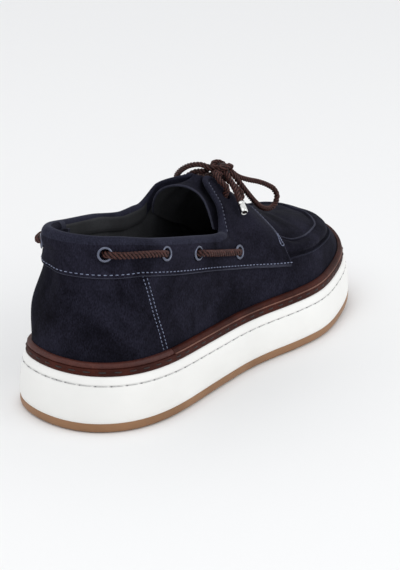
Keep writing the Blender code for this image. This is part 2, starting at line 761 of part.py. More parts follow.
# The free lace: routes chosen by hand, outward from the knot (x, y, z)
KNOT = (167.5, -3.5, 112.5)
LOOP_LATERAL = [
    (174.5, -5, 109.4), (182, -6.4, 103.9), (191, -7.8, 99.8), (202.5, -9.2, 95.6), (210.8, -10.5, 91.6),
    (217.4, -11, 87.3), (220.4, -11.5, 82.2), (218.4, -11.5, 77.9), (211.4, -11.5, 76.4), (202, -11.8, 79.4),
    (193, -12.5, 85.4), (182.4, -13, 94.6), (176, -12.6, 101.2), (172.2, -9.6, 107.6),
]
LOOP_MEDIAL = [
    (160, -1, 114), (159, 5.8, 115), (158.8, 13.4, 113.2), (161.2, 21.2, 108.6), (165.4, 27.6, 102.6),
    (171.2, 30.4, 97.9), (176.8, 27.8, 96.6), (179.2, 21.8, 99.2), (177.2, 15.6, 103.8), (173.4, 10, 108),
    (169.2, 5.8, 110.1),
]
END_LATERAL = [(166, -10, 110.2), (162.8, -16.7, 105), (158.4, -22.1, 101), (154.2, -26.6, 97.6)]
END_MEDIAL = [(174, 1.2, 110), (180, 7, 105.6), (184, 14.5, 99), (186.4, 21.5, 92.5)]


def build_knot(finish):
    """The bow's knot: a barrel of cord with one turn wrapped over it."""
    shape = bmesh.new()
    bmesh.ops.create_uvsphere(shape, u_segments=12, v_segments=8, radius=1)
    bmesh.ops.scale(shape, verts=shape.verts, vec=(6.4 * MM, 6.0 * MM, 4.4 * MM))
    data = bpy.data.meshes.new("lace_knot")
    shape.to_mesh(data)
    shape.free()
    knot = add_object("lace_knot", data, finish)
    knot.location = in_metres(KNOT)
    return knot


def build_free_lace(finish, metal):
    tube("lace_loop_lateral", LOOP_LATERAL, BOW_LACE, finish)
    tube("lace_loop_medial", LOOP_MEDIAL, BOW_LACE, finish)
    for word, route in (("lateral", END_LATERAL), ("medial", END_MEDIAL)):
        tube(f"lace_end_{word}", route, BOW_LACE, finish)
        path = np.array(route)
        run = path[-1] - path[-2]
        run /= np.linalg.norm(run)
        start = path[-1] + run * GAP
        inner, outer = BOW_LACE / 2 - 0.5, AGLET_OUTER / 2
        profile = [
            (inner, 0), (outer - 0.3, 0), (outer, 0.4), (outer, AGLET_LENGTH - 0.4),
            (outer - 0.4, AGLET_LENGTH), (inner, AGLET_LENGTH),
        ]
        turned(f"aglet_{word}", profile, 12, start, run, metal)


def main():
    for old in list(bpy.data.objects):
        bpy.data.objects.remove(old)
    suede = material("navy_suede", (0.012, 0.014, 0.030), 0.95)
    lining = material("lining_leather", (0.030, 0.032, 0.028), 0.7)
    rubber = material("white_rubber", (0.86, 0.86, 0.84), 0.5)
    gum = material("gum_rubber", (0.33, 0.19, 0.10), 0.55)
    leather = material("brown_leather", (0.10, 0.028, 0.016), 0.45)
    cord = material("brown_cord", (0.075, 0.035, 0.028), 0.6)
    enamel = material("eyelet_metal", (0.09, 0.10, 0.15), 0.35, 0.9)
    steel = material("aglet_metal", (0.75, 0.75, 0.73), 0.2, 1.0)

    build_outsole(gum)
    build_midsole(rubber)
    build_insole(lining)
    ring_body("welt", WELT_SECTION, leather)
    build_rands(leather)
    upper = build_upper(suede)
    saddle = build_saddle(suede)
    build_tongue(suede)
    build_eyelets(enamel, upper, saddle)
    cut_lace_holes(upper, saddle)
    build_side_runs(cord)
    build_throat_lace(cord)
    build_knot(cord)
    build_free_lace(cord, steel)


main()
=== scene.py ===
"""Dresses the right boat shoe: brushed suede, welt leather, rubber, braided laces and stitching.

Lengths are in millimetres in the maker's own axes until a mesh is made: X from the back of the heel to
the toe, Y from the outer (lateral) side to the inner (medial) side, Z up from the floor.
"""

import itertools
import math

import bmesh
import bpy
import numpy as np
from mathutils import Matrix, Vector


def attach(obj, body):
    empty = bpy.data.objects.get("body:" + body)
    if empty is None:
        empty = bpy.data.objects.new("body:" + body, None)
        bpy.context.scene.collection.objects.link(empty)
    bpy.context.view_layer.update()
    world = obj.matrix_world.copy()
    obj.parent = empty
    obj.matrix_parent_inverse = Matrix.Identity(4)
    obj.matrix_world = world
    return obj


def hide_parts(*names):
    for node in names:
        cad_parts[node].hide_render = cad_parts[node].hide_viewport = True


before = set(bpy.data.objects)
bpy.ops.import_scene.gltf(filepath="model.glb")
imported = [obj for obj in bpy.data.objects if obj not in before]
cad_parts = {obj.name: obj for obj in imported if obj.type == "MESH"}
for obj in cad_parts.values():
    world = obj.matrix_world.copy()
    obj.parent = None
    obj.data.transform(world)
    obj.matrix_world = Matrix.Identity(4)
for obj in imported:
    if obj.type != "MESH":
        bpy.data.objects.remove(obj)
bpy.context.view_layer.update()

MM = 0.001
ORIGIN = np.array([151.0, -2.0, 0.0])
BODY = "root"

# ---- the maker's sizes ---------------------------------------------------------------------------------

SOLE_LENGTH = 300.0  # where the toe spring is full; the outline ends 0.7 short of it
CUP_TOP_AT_HEEL = 33.2
CUP_TOP_AT_WAIST = 29.0
WAIST_START = 160.0
TOE_SPRING = 9.3
SPRING_START = 210.0
GUM_THICKNESS = 5.6
CUP_DEPTH = 10.0  # from the cup's edge down to its floor
LIP_INNER_INSET = 7.9
INSOLE_THICKNESS = 5.5
WELT_RISE = 7.4
UPPER_INSET = 8.2  # welt line, in from the sole's outline
WALL = 2.2
SKIVED = 1.4  # taken off the upper along the lacing edge
FACING_SKIVE = 0.6  # taken off the saddle along the same edge
SEAM = 0.8  # room between the upper and what lies on it
SADDLE = 1.4
PADDING = 0.9
LINING = 1.4
HOOK_DEPTH = 8.0  # how far the saddle's flap reaches down inside
TONGUE_THICKNESS = 2.6
GAP = 0.32  # between pieces that are seated in each other
LACE = 4.4  # round the collar
BOW_LACE = 3.8  # over the throat and in the bow
EYELET_HOLE = 6.0
EYELET_OUTER = 9.0
LACE_HOLE = 6.0
AGLET_LENGTH = 8.0
AGLET_OUTER = 4.6

LATERAL, MEDIAL = -1, 1

# ---- camera --------------------------------------------------------------------------------------------

CAMERA_TURN = 33.768  # degrees from +X towards +Y that it looks
CAMERA_DROP = 19.814  # degrees that it looks down
CAMERA_DISTANCE = 1227.9
CAMERA_TARGET = np.array([150.0, 0.0, 41.0])
CAMERA_LENS = 126.0


def in_metres(point):
    return (np.asarray(point, float) - ORIGIN) * MM


def link_object(name, data):
    made = bpy.data.objects.new(name, data)
    bpy.context.scene.collection.objects.link(made)
    return made


def add_camera():
    turn, drop = math.radians(CAMERA_TURN), math.radians(CAMERA_DROP)
    ahead = np.array([math.cos(turn) * math.cos(drop), math.sin(turn) * math.cos(drop), -math.sin(drop)])
    camera = link_object("camera", bpy.data.cameras.new("camera"))
    camera.data.sensor_width = 36.0
    camera.data.lens = CAMERA_LENS
    camera.data.clip_start, camera.data.clip_end = 0.05, 50.0
    camera.location = in_metres(CAMERA_TARGET - ahead * CAMERA_DISTANCE)
    camera.rotation_euler = Vector(ahead).to_track_quat("-Z", "Y").to_euler()
    bpy.context.scene.camera = camera


add_camera()

# ---- the last, as ribs ---------------------------------------------------------------------------------
# A rib climbs from the welt to the collar, to the lacing slit or to the middle of the toe. Its four
# knots are the welt line, a low knot, a high knot and its top. The insets of the two middle knots are
# measured from the welt line towards the top. In the toe the low knot is the moccasin crease and the
# high knot is the apron seam. lift is 1 where the rib ends at an edge and 0 where it crosses the middle.
# Columns: sole_x, sole_y, low_in, low_z, high_in, high_z, top_x, top_y, top_z, lift
HEEL_RIB = (2.8, 0, 0.2, 62, 2.6, 86, 15, 0, 108.2, 1)
LATERAL_RIBS = [
    (5.8, -20.6, 0.6, 62, 3.2, 86, 18.5, -15, 108, 1),
    (20.2, -38.1, 0.6, 62, 3.0, 85, 29, -26.5, 106.8, 1),
    (50, -47.8, 1.5, 62, 3.1, 84, 52, -33.5, 101, 1),
    (86, -47.6, 0.7, 60, 1.7, 80, 85, -36, 93.4, 1),
    (116, -46.5, 0.5, 57, 1.9, 75, 114, -35.5, 86.6, 1),
    (131, -46.3, 0.6, 58, 3.0, 76, 125.5, -32.5, 85.2, 1),
    (146, -47.2, 0.8, 59, 6.2, 80, 137, -22, 98.2, 1),
    (160, -49.1, 1.1, 59, 10.1, 83, 151.5, -3, 109.4, 1),
    (177, -52.1, 2.3, 58, 13.0, 76, 170, -4, 97.5, 1),
    (193, -54.1, 3.2, 56.5, 14.8, 66.5, 188.5, -4.5, 85, 0.8),
    (203, -54.7, 4.0, 55, 12.3, 62.6, 195, 1, 81, 0),
    (219, -53.4, 4.1, 53.3, 10.7, 61, 212, 1, 73.6, 0.1),
    (241.8, -48.1, 4.2, 51.8, 11.3, 60.3, 226, 1, 69.2, 0.3),
    (266.5, -39, 5.4, 50.6, 16.7, 59.8, 233, 1, 67.4, 0.55),
    (287.3, -22.8, 7.4, 50.2, 21.7, 59.2, 236, 1, 66.6, 0.8),
]
TOE_RIB = (299.3, 2, 9.4, 50.4, 25.9, 59.3, 237, 1, 66.4, 0.9)
MEDIAL_RIBS = [
    (8, 21.4, 1.0, 62, 6.6, 86, 19, 13.5, 107.6, 1),
    (21.3, 39.8, 0.6, 62, 8.2, 85, 30.5, 23.2, 105.6, 1),
    (50, 46.5, 1.5, 62, 5.6, 84, 52.5, 31, 100.2, 1),
    (86, 42.3, 0.6, 60, 1.8, 80, 85, 33, 94.6, 1),
    (116, 39.2, 0.5, 57, 1.6, 75, 114, 32, 89.2, 1),
    (131, 38.9, 0.4, 58, 2.0, 76, 129, 31.5, 89.7, 1),
    (146, 40.4, 0.7, 59, 3.4, 80, 145, 29, 100.7, 1),
    (160, 42.5, 1.2, 59, 7.5, 83, 154, 10, 108.4, 1),
    (175, 45.2, 1.6, 58, 10.0, 76.5, 170, 8.5, 97.5, 1),
    (191, 48, 2.2, 56.5, 12.0, 67.5, 188.5, 7.5, 85, 0.8),
    (201, 49.3, 2.8, 55.4, 10.5, 63.6, 195, 1, 81, 0),
    (217, 50.5, 3.4, 54, 9.5, 62, 212, 1, 73.6, 0.1),
    (242, 49.3, 4.4, 52.6, 11.5, 62.8, 226, 1, 69.2, 0.3),
    (269, 41.5, 6.0, 51.8, 17.5, 62.9, 233, 1, 67.4, 0.55),
    (289.7, 25.8, 7.8, 51.2, 22.3, 61.6, 236, 1, 66.6, 0.8),
]
A_TOE = len(LATERAL_RIBS) + 1  # rib numbers run from 0 at the heel to A_TOE at the toe
A_SPINE = 11  # from this rib on, the two sides meet in the middle
A_SADDLE = 10.25  # the saddle's front edge reaches the middle at this rib
A_APEX = 8  # the top of the throat
A_COUNTER = 3.22  # the heel rand ends here

# lower edge of the saddle: distance from the heel, height
BAND_EDGE = [(0, 89.2), (18, 88.3), (38, 86.5), (65, 80), (100, 71.8), (140, 61.9), (167, 55.6), (186, 51.4)]
# front edge of the saddle: share of the way up from its lower corner, rib number
FRONT_EDGE = [(0, 9.38), (0.2, 9.28), (0.38, 9.3), (0.54, 9.52), (0.72, 9.88), (0.87, 10.15), (1, 10.25)]
# rib and t of the collar's eyelets, from the heel forward
EYELETS = [(1.53, 0.915), (3.25, 0.885), (4.13, 0.83), (6.3, 0.602)]


def hermite(p, q, m, k, b):
    """Cubic from p to q with end slopes m and k, at b from 0 to 1."""
    places = p * (2 * b**3 - 3 * b**2 + 1) + m * (b**3 - 2 * b**2 + b)
    return places + q * (3 * b**2 - 2 * b**3) + k * (b**3 - b**2)


def end_slopes(points):
    """Slope at each point of an open row, from its neighbours."""
    ends = np.concatenate([[2 * points[0] - points[1]], points, [2 * points[-1] - points[-2]]])
    return (ends[2:] - ends[:-2]) / 2


def slimness(station):
    """0 along the padded collar, 1 where the lacing edge is only folded leather."""
    return smooth_step(5.6, 7.0, np.asarray(station, float))


def smooth_step(low, high, x):
    b = np.clip((x - low) / (high - low), 0, 1)
    return b * b * (3 - 2 * b)


def bump_at(x, centre, width):
    return np.exp(-(((x - centre) / width) ** 2))


def unit(vectors):
    return vectors / np.linalg.norm(vectors, axis=-1, keepdims=True)


ROWS = np.array([HEEL_RIB, *LATERAL_RIBS, TOE_RIB, *reversed(MEDIAL_RIBS)], float)
SOLE_ROWS = ROWS[:, :2]
SHAPE_ROWS = ROWS[:, 2:]
SOLE_STEPS = np.linalg.norm(np.roll(SOLE_ROWS, -1, 0) - SOLE_ROWS, axis=1)


def closed_bends(steps, rows):
    """Second derivatives of the closed cubic through rows."""
    n = len(rows)
    left = np.zeros((n, n))
    right = np.zeros(rows.shape)
    for i in range(n):
        before, after = steps[i - 1], steps[i]
        left[i, i - 1] += before
        left[i, i] += 2 * (before + after)
        left[i, (i + 1) % n] += after
        right[i] = 6 * ((rows[(i + 1) % n] - rows[i]) / after - (rows[i] - rows[i - 1]) / before)
    return np.linalg.solve(left, right)


def monotone_slopes(rows):
    """Slopes of a closed curve that never swings past its rows, one row apart."""
    ahead = np.roll(rows, -1, axis=0) - rows
    behind = np.roll(ahead, 1, axis=0)
    product = ahead * behind
    with np.errstate(divide="ignore", invalid="ignore"):
        return np.where(product > 0, 2 * product / (ahead + behind), 0.0)


SOLE_BENDS = closed_bends(SOLE_STEPS, SOLE_ROWS)
SHAPE_SLOPES = monotone_slopes(SHAPE_ROWS)


def row_of(side, a):
    """Index of the row before rib a, and the share of the way to the next."""
    side, a = np.broadcast_arrays(side, np.asarray(a, float))
    index = np.where(side == LATERAL, a, (len(ROWS) - a) % len(ROWS))
    i = np.minimum(index.astype(int), len(ROWS) - 1)
    return i, (index - i)[..., None]


def sole_edge(side, a):
    """Points of the sole's outline at ribs a, and the unit vectors that point out of it."""
    i, b = row_of(side, a)
    j = (i + 1) % len(ROWS)
    step = SOLE_STEPS[i][..., None]
    p, q, m, k = SOLE_ROWS[i], SOLE_ROWS[j], SOLE_BENDS[i], SOLE_BENDS[j]
    c = 1 - b
    point = c * p + b * q + ((c**3 - c) * m + (b**3 - b) * k) * step**2 / 6
    slope = (q - p) / step + ((1 - 3 * c * c) * m + (3 * b * b - 1) * k) * step / 6
    return point, unit(np.stack([slope[..., 1], -slope[..., 0]], -1))


def inset_point(side, a, inset):
    point, outward = sole_edge(side, a)
    return point - outward * np.asarray(inset)[..., None]


def spring(x):
    """How far the sole has lifted off the floor at x."""
    run = np.maximum(0.0, x - SPRING_START) / (SOLE_LENGTH - SPRING_START)
    return TOE_SPRING * run * run


def cup_top(x):
    """Height of the cup's edge: it falls from the heel to the waist and then follows the sole's spring."""
    behind = 1 - np.clip(x / WAIST_START, 0, 1)
    return CUP_TOP_AT_WAIST + (CUP_TOP_AT_HEEL - CUP_TOP_AT_WAIST) * behind * behind + spring(x)


def from_floor(rise):
    return lambda x: spring(x) + rise


def from_top(drop):
    return lambda x: cup_top(x) - drop


def sole_line(side, a, inset, height):
    """Points at height(x) over the sole's outline moved in by inset."""
    plan = inset_point(side, a, inset)
    return np.column_stack([plan, height(plan[:, 0])])


def rib_point(side, a, t):
    """Points of the last at ribs a, from t = 0 at the welt line, over t = 1/3 and 2/3 at its knots, to 1."""
    side, a, t = np.broadcast_arrays(side, np.asarray(a, float), np.asarray(t, float))
    i, b = row_of(side, a)
    j = (i + 1) % len(ROWS)
    shape = hermite(SHAPE_ROWS[i], SHAPE_ROWS[j], SHAPE_SLOPES[i], SHAPE_SLOPES[j], b)
    low_in, low_z, high_in, high_z, top_x, top_y, top_z, lift = np.moveaxis(shape, -1, 0)
    foot = inset_point(side, a, UPPER_INSET)
    foot_z = cup_top(foot[..., 0]) + WELT_RISE
    across = np.stack([top_x, top_y], -1) - foot
    length = np.linalg.norm(across, axis=-1)
    insets = np.stack([0 * low_in, low_in, high_in, length], -1)
    heights = np.stack([foot_z, low_z, high_z, top_z], -1)
    inset_slopes = np.stack([0.3 * low_in, high_in / 2, (length - low_in) / 2, length - high_in], -1)
    height_slopes = np.stack(
        [low_z - foot_z, (high_z - foot_z) / 2, (top_z - low_z) / 2, lift * (top_z - high_z)], -1
    )
    third = np.clip((3 * t).astype(int), 0, 2)[..., None]

    def along(values, slopes):
        ends = [np.take_along_axis(v, third + k, -1)[..., 0] for v in (values, slopes) for k in (0, 1)]
        return hermite(ends[0], ends[1], ends[2], ends[3], 3 * t - third[..., 0])

    inset, z = along(insets, inset_slopes), along(heights, height_slopes)
    plan = foot + across * (inset / length)[..., None]
    return np.concatenate([plan, z[..., None]], -1)


def rib_normal(side, a, t):
    """Unit normals of the last, pointing out of the shoe."""
    side, a, t = np.broadcast_arrays(side, np.asarray(a, float), np.asarray(t, float))
    step = 0.02
    along = rib_point(side, np.minimum(a + step, A_TOE), t) - rib_point(side, np.maximum(a - step, 0), t)
    up = rib_point(side, a, np.minimum(t + step, 1)) - rib_point(side, a, np.maximum(t - step, 0))
    return unit(np.cross(along, up) * -side[..., None])


def last_normal(side, a, t):
    """The same, but alike from both sides where they meet in the middle."""
    side, a, t = np.broadcast_arrays(side, np.asarray(a, float), np.asarray(t, float))
    near_toe = np.minimum(a, A_TOE - 0.2)
    both = unit(rib_normal(LATERAL, near_toe, 0.985) + rib_normal(MEDIAL, near_toe, 0.985))
    share = np.where(a >= A_SPINE - 1e-6, smooth_step(0.93, 0.995, t), 0)[..., None]
    return unit(rib_normal(side, a, t) * (1 - share) + both * share)


def last_offset(side, a, t, offset):
    return rib_point(side, a, t) + last_normal(side, a, t) * np.asarray(offset, float)[..., None]


def band_edge_t(side, a):
    """Where ribs a cross the saddle's lower edge."""
    side, a = np.broadcast_arrays(side, np.asarray(a, float))
    low, high = np.full(a.shape, 0.05), np.full(a.shape, 1.0)
    for _ in range(26):
        middle = (low + high) / 2
        place = rib_point(side, a, middle)
        under = place[..., 2] < np.interp(place[..., 0], *zip(*BAND_EDGE))
        low, high = np.where(under, middle, low), np.where(under, high, middle)
    return (low + high) / 2


def front_edge(share):
    """Rib number of the saddle's front edge, share of the way up from its lower corner."""
    return np.interp(share, *zip(*FRONT_EDGE))


def edge_direction(side, a):
    """Unit vectors that carry the ribs on past their top edge."""
    return unit(rib_point(side, a, 1.0) - rib_point(side, a, 0.98))


def saddle_place(side, station, share):
    """Rib and t of the saddle's skin, share of the way up its section at this station."""
    forward = np.maximum(0.0, np.asarray(station, float) - A_APEX) / (A_SADDLE - A_APEX)
    a = station + (front_edge(share) - A_SADDLE) * forward
    low = band_edge_t(side, a)
    return a, low + (1 - low) * share


def ring(ribs):
    """Sides and ribs of the closed loop: the lateral ribs from heel to toe, then the medial ones back."""
    back = ribs[-2:0:-1]
    return np.repeat([LATERAL, MEDIAL], [len(ribs), len(back)]), np.concatenate([ribs, back])


def around_heel(end, count):
    """Sides and ribs from the lateral rib end, back around the heel, to the medial one."""
    ribs = np.linspace(0, end, count)
    return np.repeat([LATERAL, MEDIAL], [count, count - 1]), np.concatenate([ribs[::-1], ribs[1:]])


def around_toe(start, count):
    """Sides and ribs from the lateral rib start, around the toe, to the medial one."""
    ribs = np.linspace(start, A_TOE, count)
    return np.repeat([LATERAL, MEDIAL], [count, count - 1]), np.concatenate([ribs, ribs[-2::-1]])


# ---- mesh makers ---------------------------------------------------------------------------------------


def grid_faces(rows, columns, closed_rows=False, closed_columns=False):
    """Quads between neighbouring points of a grid stored row after row."""
    r, c = np.meshgrid(
        np.arange(rows if closed_rows else rows - 1),
        np.arange(columns if closed_columns else columns - 1),
        indexing="ij",
    )
    down, right = (r + 1) % rows, (c + 1) % columns
    quads = np.stack([r * columns + c, r * columns + right, down * columns + right, down * columns + c], -1)
    return quads.reshape(-1, 4)


def strip_faces(size, length):
    """Faces of a strip through closed sections of size points, capped at both ends."""
    ends = [[i * length for i in range(size)], [i * length + length - 1 for i in reversed(range(size))]]
    return [*grid_faces(size, length, True, False), *ends]


def tube_faces(count, sides):
    """Faces of a tube of count rings, capped at both ends."""
    ends = [np.arange(sides), count * sides - 1 - np.arange(sides)]
    return [*grid_faces(count, sides, False, True), *ends]


def joined(shapes):
    """Points and faces of several (points, faces) shapes as one."""
    points, faces, base = [], [], 0
    for its_points, its_faces in shapes:
        points.append(its_points)
        faces += [face + base for face in its_faces]
        base += len(its_points)
    return np.concatenate(points), faces


def add_piece(name, points, faces, finishes, replaced=(), slot=None, finish_of_face=None, join=0.0, sharp=50):
    """One mesh piece from points in millimetres; it rides on the shoe and stands for the replaced solids."""
    data = bpy.data.meshes.new(name)
    data.from_pydata(in_metres(points).tolist(), [], [list(map(int, f)) for f in faces])
    for finish in finishes:
        data.materials.append(finish)
    if finish_of_face is not None:
        data.polygons.foreach_set("material_index", np.asarray(finish_of_face, np.int32))
    shape = bmesh.new()
    shape.from_mesh(data)
    if join:
        bmesh.ops.remove_doubles(shape, verts=shape.verts, dist=join * MM)
        bmesh.ops.dissolve_degenerate(shape, edges=shape.edges, dist=join * MM * 0.1)
    bmesh.ops.recalc_face_normals(shape, faces=shape.faces)
    shape.to_mesh(data)
    shape.free()
    data.shade_smooth()
    data.set_sharp_from_angle(angle=math.radians(sharp))
    made = link_object(name, data)
    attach(made, BODY)
    if replaced:
        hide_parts(*replaced)
    return made


def turned(name, profile, sides, place, axis, finish, **more):
    """A ring-shaped piece turned about axis from (radius, height) rows, standing at place."""
    axis = Vector(axis).normalized()
    first = axis.orthogonal().normalized()
    second = axis.cross(first)
    angles = np.linspace(0, 2 * math.pi, sides, endpoint=False)
    spokes = np.outer(np.cos(angles), first) + np.outer(np.sin(angles), second)
    points = np.concatenate([np.array(place) + spokes * r + np.array(axis) * h for r, h in profile])
    faces = grid_faces(len(profile), sides, True, True)
    return add_piece(name, points, faces, [finish], join=0.004, **more)


def resample(points, step):
    """The same line with points evenly step apart."""
    along = np.concatenate([[0], np.cumsum(np.linalg.norm(np.diff(points, axis=0), axis=1))])
    at = np.linspace(0, along[-1], max(2, round(along[-1] / step) + 1))
    return np.stack([np.interp(at, along, points[:, k]) for k in range(points.shape[1])], 1)


def smooth_line(points, step):
    """An even line along the smooth curve through points."""
    points = np.asarray(points, float)
    ends = np.vstack([2 * points[0] - points[1], points, 2 * points[-1] - points[-2]])
    chords = np.sqrt(np.linalg.norm(np.diff(ends, axis=0), axis=1))
    found = []
    for i in range(len(points) - 1):
        before, here, after = chords[i], chords[i + 1], chords[i + 2]
        p0, p1, p2, p3 = ends[i : i + 4]
        m = ((p1 - p0) / before - (p2 - p0) / (before + here) + (p2 - p1) / here) * here
        k = ((p2 - p1) / here - (p3 - p1) / (here + after) + (p3 - p2) / after) * here
        found += [hermite(p1, p2, m, k, b) for b in np.linspace(0, 1, 12, endpoint=False)]
    return resample(np.array([*found, points[-1]]), step)


def frames_along(line):
    """Unit tangents and two unit normals that don't twist along a line."""
    tangents = unit(np.gradient(line, axis=0))
    first = np.array(Vector(tangents[0]).orthogonal())
    normals = []
    for tangent in tangents:
        first = unit(first - tangent * (first @ tangent))
        normals.append(first)
    normals = np.array(normals)
    return tangents, normals, np.cross(tangents, normals)


# ---- finishes ------------------------------------------------------------------------------------------


def add_node(tree, kind, inputs=None, **settings):
    made = tree.nodes.new(kind)
    for key, value in settings.items():
        setattr(made, key, value)
    for key, value in (inputs or {}).items():
        socket = made.inputs[key]
        if isinstance(value, bpy.types.NodeSocket):
            tree.links.new(value, socket)
        else:
            socket.default_value = value
    return made


def mix_colours(tree, factor, low, high):
    mixed = add_node(tree, "ShaderNodeMix", data_type="RGBA")
    for index, value in ((0, factor), (6, low), (7, high)):
        if isinstance(value, bpy.types.NodeSocket):
            tree.links.new(value, mixed.inputs[index])
        else:
            mixed.inputs[index].default_value = value
    return mixed.outputs[2]


def maths(tree, operation, a, b=0.0):
    return add_node(tree, "ShaderNodeMath", {0: a, 1: b}, operation=operation).outputs[0]


def new_effect(name, numbers, colours, outputs):
    """An empty node group with number and colour inputs, and the nodes that stand for its two ends."""
    group = bpy.data.node_groups.new(name, "ShaderNodeTree")
    for key, value in numbers.items():
        socket = group.interface.new_socket(name=key, in_out="INPUT", socket_type="NodeSocketFloat")
        socket.default_value = value
    for key in colours:
        group.interface.new_socket(name=key, in_out="INPUT", socket_type="NodeSocketColor")
    for key in outputs:
        kind = "NodeSocketColor" if key == "Color" else "NodeSocketFloat"
        group.interface.new_socket(name=key, in_out="OUTPUT", socket_type=kind)
    ends = group.nodes.new("NodeGroupInput"), group.nodes.new("NodeGroupOutput")
    where = add_node(group, "ShaderNodeTexCoord").outputs["Object"]
    return group, ends[0].outputs, ends[1].inputs, where


def noise(tree, where, scale, detail=3.0, roughness=0.5, distortion=0.0):
    inputs = {"Vector": where, "Scale": scale, "Detail": detail}
    inputs |= {"Roughness": roughness, "Distortion": distortion}
    return add_node(tree, "ShaderNodeTexNoise", inputs).outputs["Fac"]


def contrast(tree, value, low, high):
    """The value stretched so that low becomes 0 and high becomes 1."""
    inputs = {"Value": value, "From Min": low, "From Max": high}
    return add_node(tree, "ShaderNodeMapRange", inputs).outputs[0]


def make_nap():
    """Brushed suede: broad patches where the nap lies the other way, mottling and fine fibres."""
    numbers = {"Patches": 26.0, "Mottling": 190.0, "Fibres": 1500.0}
    colours = ("Deep", "Middle", "Raised")
    group, given, out, where = new_effect("brushed_nap", numbers, colours, ("Color", "Height"))
    broad = contrast(group, noise(group, where, given["Patches"], 4.0, 0.6, 0.8), 0.36, 0.66)
    mottled = contrast(group, noise(group, where, given["Mottling"], 4.0, 0.62), 0.2, 0.8)
    lain = add_node(group, "ShaderNodeVectorMath", {0: where, 1: (1.0, 1.0, 0.45)}, operation="MULTIPLY")
    fibres = noise(group, lain.outputs[0], given["Fibres"], 2.0, 0.6)
    ground = mix_colours(group, broad, given["Deep"], given["Middle"])
    swept = maths(group, "ADD", maths(group, "MULTIPLY", broad, 0.45), maths(group, "MULTIPLY", mottled, 0.6))
    lit = maths(group, "MULTIPLY", swept, contrast(group, fibres, 0.35, 0.75))
    colour = mix_colours(group, lit, ground, given["Raised"])
    group.links.new(colour, out["Color"])
    fine = maths(group, "MULTIPLY", fibres, 0.5)
    group.links.new(maths(group, "ADD", fine, maths(group, "MULTIPLY", mottled, 0.6)), out["Height"])
    return group


def make_grain():
    """Smooth leather: fine pebbles, pores and uneven dye."""
    numbers = {"Pebbles": 1400.0, "Dye": 60.0}
    outputs = ("Color", "Roughness", "Height")
    group, given, out, where = new_effect("leather_grain", numbers, ("Dark", "Light"), outputs)
    pebbles = add_node(group, "ShaderNodeTexVoronoi", {"Vector": where, "Scale": given["Pebbles"]})
    cells = pebbles.outputs["Distance"]
    dye = contrast(group, noise(group, where, given["Dye"], 4.0, 0.6), 0.3, 0.72)
    worn = maths(group, "MULTIPLY", dye, maths(group, "SUBTRACT", 1.1, cells))
    group.links.new(mix_colours(group, worn, given["Dark"], given["Light"]), out["Color"])
    group.links.new(maths(group, "SUBTRACT", 1.0, cells), out["Height"])
    group.links.new(contrast(group, noise(group, where, 300.0), -1.3, 1.9), out["Roughness"])
    return group


def make_fibre():
    """Spun thread and cord: short flecks of lighter yarn."""
    colours = ("Dark", "Light")
    group, given, out, where = new_effect("spun_fibre", {"Flecks": 700.0}, colours, ("Color", "Height"))
    flecks = contrast(group, noise(group, where, given["Flecks"], 3.0, 0.65), 0.32, 0.7)
    fine = noise(group, where, maths(group, "MULTIPLY", given["Flecks"], 4.0), 2.0)
    group.links.new(mix_colours(group, flecks, given["Dark"], given["Light"]), out["Color"])
    group.links.new(fine, out["Height"])
    return group


def make_moulded():
    """Moulded rubber: faint clouding and a fine matt skin."""
    colours = ("Dark", "Light")
    group, given, out, where = new_effect("moulded_rubber", {"Clouds": 25.0}, colours, ("Color", "Height"))
    clouds = contrast(group, noise(group, where, given["Clouds"], 3.0, 0.5), 0.3, 0.7)
    group.links.new(mix_colours(group, clouds, given["Dark"], given["Light"]), out["Color"])
    group.links.new(noise(group, where, 1800.0, 3.0, 0.6), out["Height"])
    return group


EFFECTS = {"nap": make_nap(), "grain": make_grain(), "fibre": make_fibre(), "moulded": make_moulded()}


def finish_with(name, effect, values, shader, bump=0.2, depth=0.1):
    """A material whose colour and height come from a shared effect; shader holds its constant settings."""
    made = bpy.data.materials.new(name)
    made.use_nodes = True
    tree = made.node_tree
    principled = tree.nodes["Principled BSDF"]
    for key, value in shader.items():
        principled.inputs[key].default_value = value
    group = add_node(tree, "ShaderNodeGroup", node_tree=EFFECTS[effect])
    for key, value in values.items():
        group.inputs[key].default_value = (*value, 1) if isinstance(value, tuple) else value
    tree.links.new(group.outputs["Color"], principled.inputs["Base Color"])
    if "Roughness" in group.outputs and "Roughness" not in shader:
        tree.links.new(group.outputs["Roughness"], principled.inputs["Roughness"])
    raised = add_node(
        tree, "ShaderNodeBump", {"Strength": bump, "Distance": depth * MM, "Height": group.outputs["Height"]}
    )
    tree.links.new(raised.outputs["Normal"], principled.inputs["Normal"])
    return made


def suede(name, deep, middle, raised, sheen):
    shader = {"Roughness": 0.95, "Sheen Weight": sheen, "Sheen Roughness": 0.35, "Specular IOR Level": 0.04}
    shader["Sheen Tint"] = (0.75, 0.8, 1.0, 1)
    return finish_with(name, "nap", {"Deep": deep, "Middle": middle, "Raised": raised}, shader, 0.6, 0.25)


def mottled(
    name, effect, dark, light, bump=0.3, depth=0.05, roughness=0.6, specular=0.5, metallic=0.0, **scales
):
    """A finish that varies between two colours. With roughness None the effect's own varies too."""
    shader = {"Specular IOR Level": specular, "Metallic": metallic}
    if roughness is not None:
        shader["Roughness"] = roughness
    return finish_with(name, effect, {"Dark": dark, "Light": light, **scales}, shader, bump, depth)


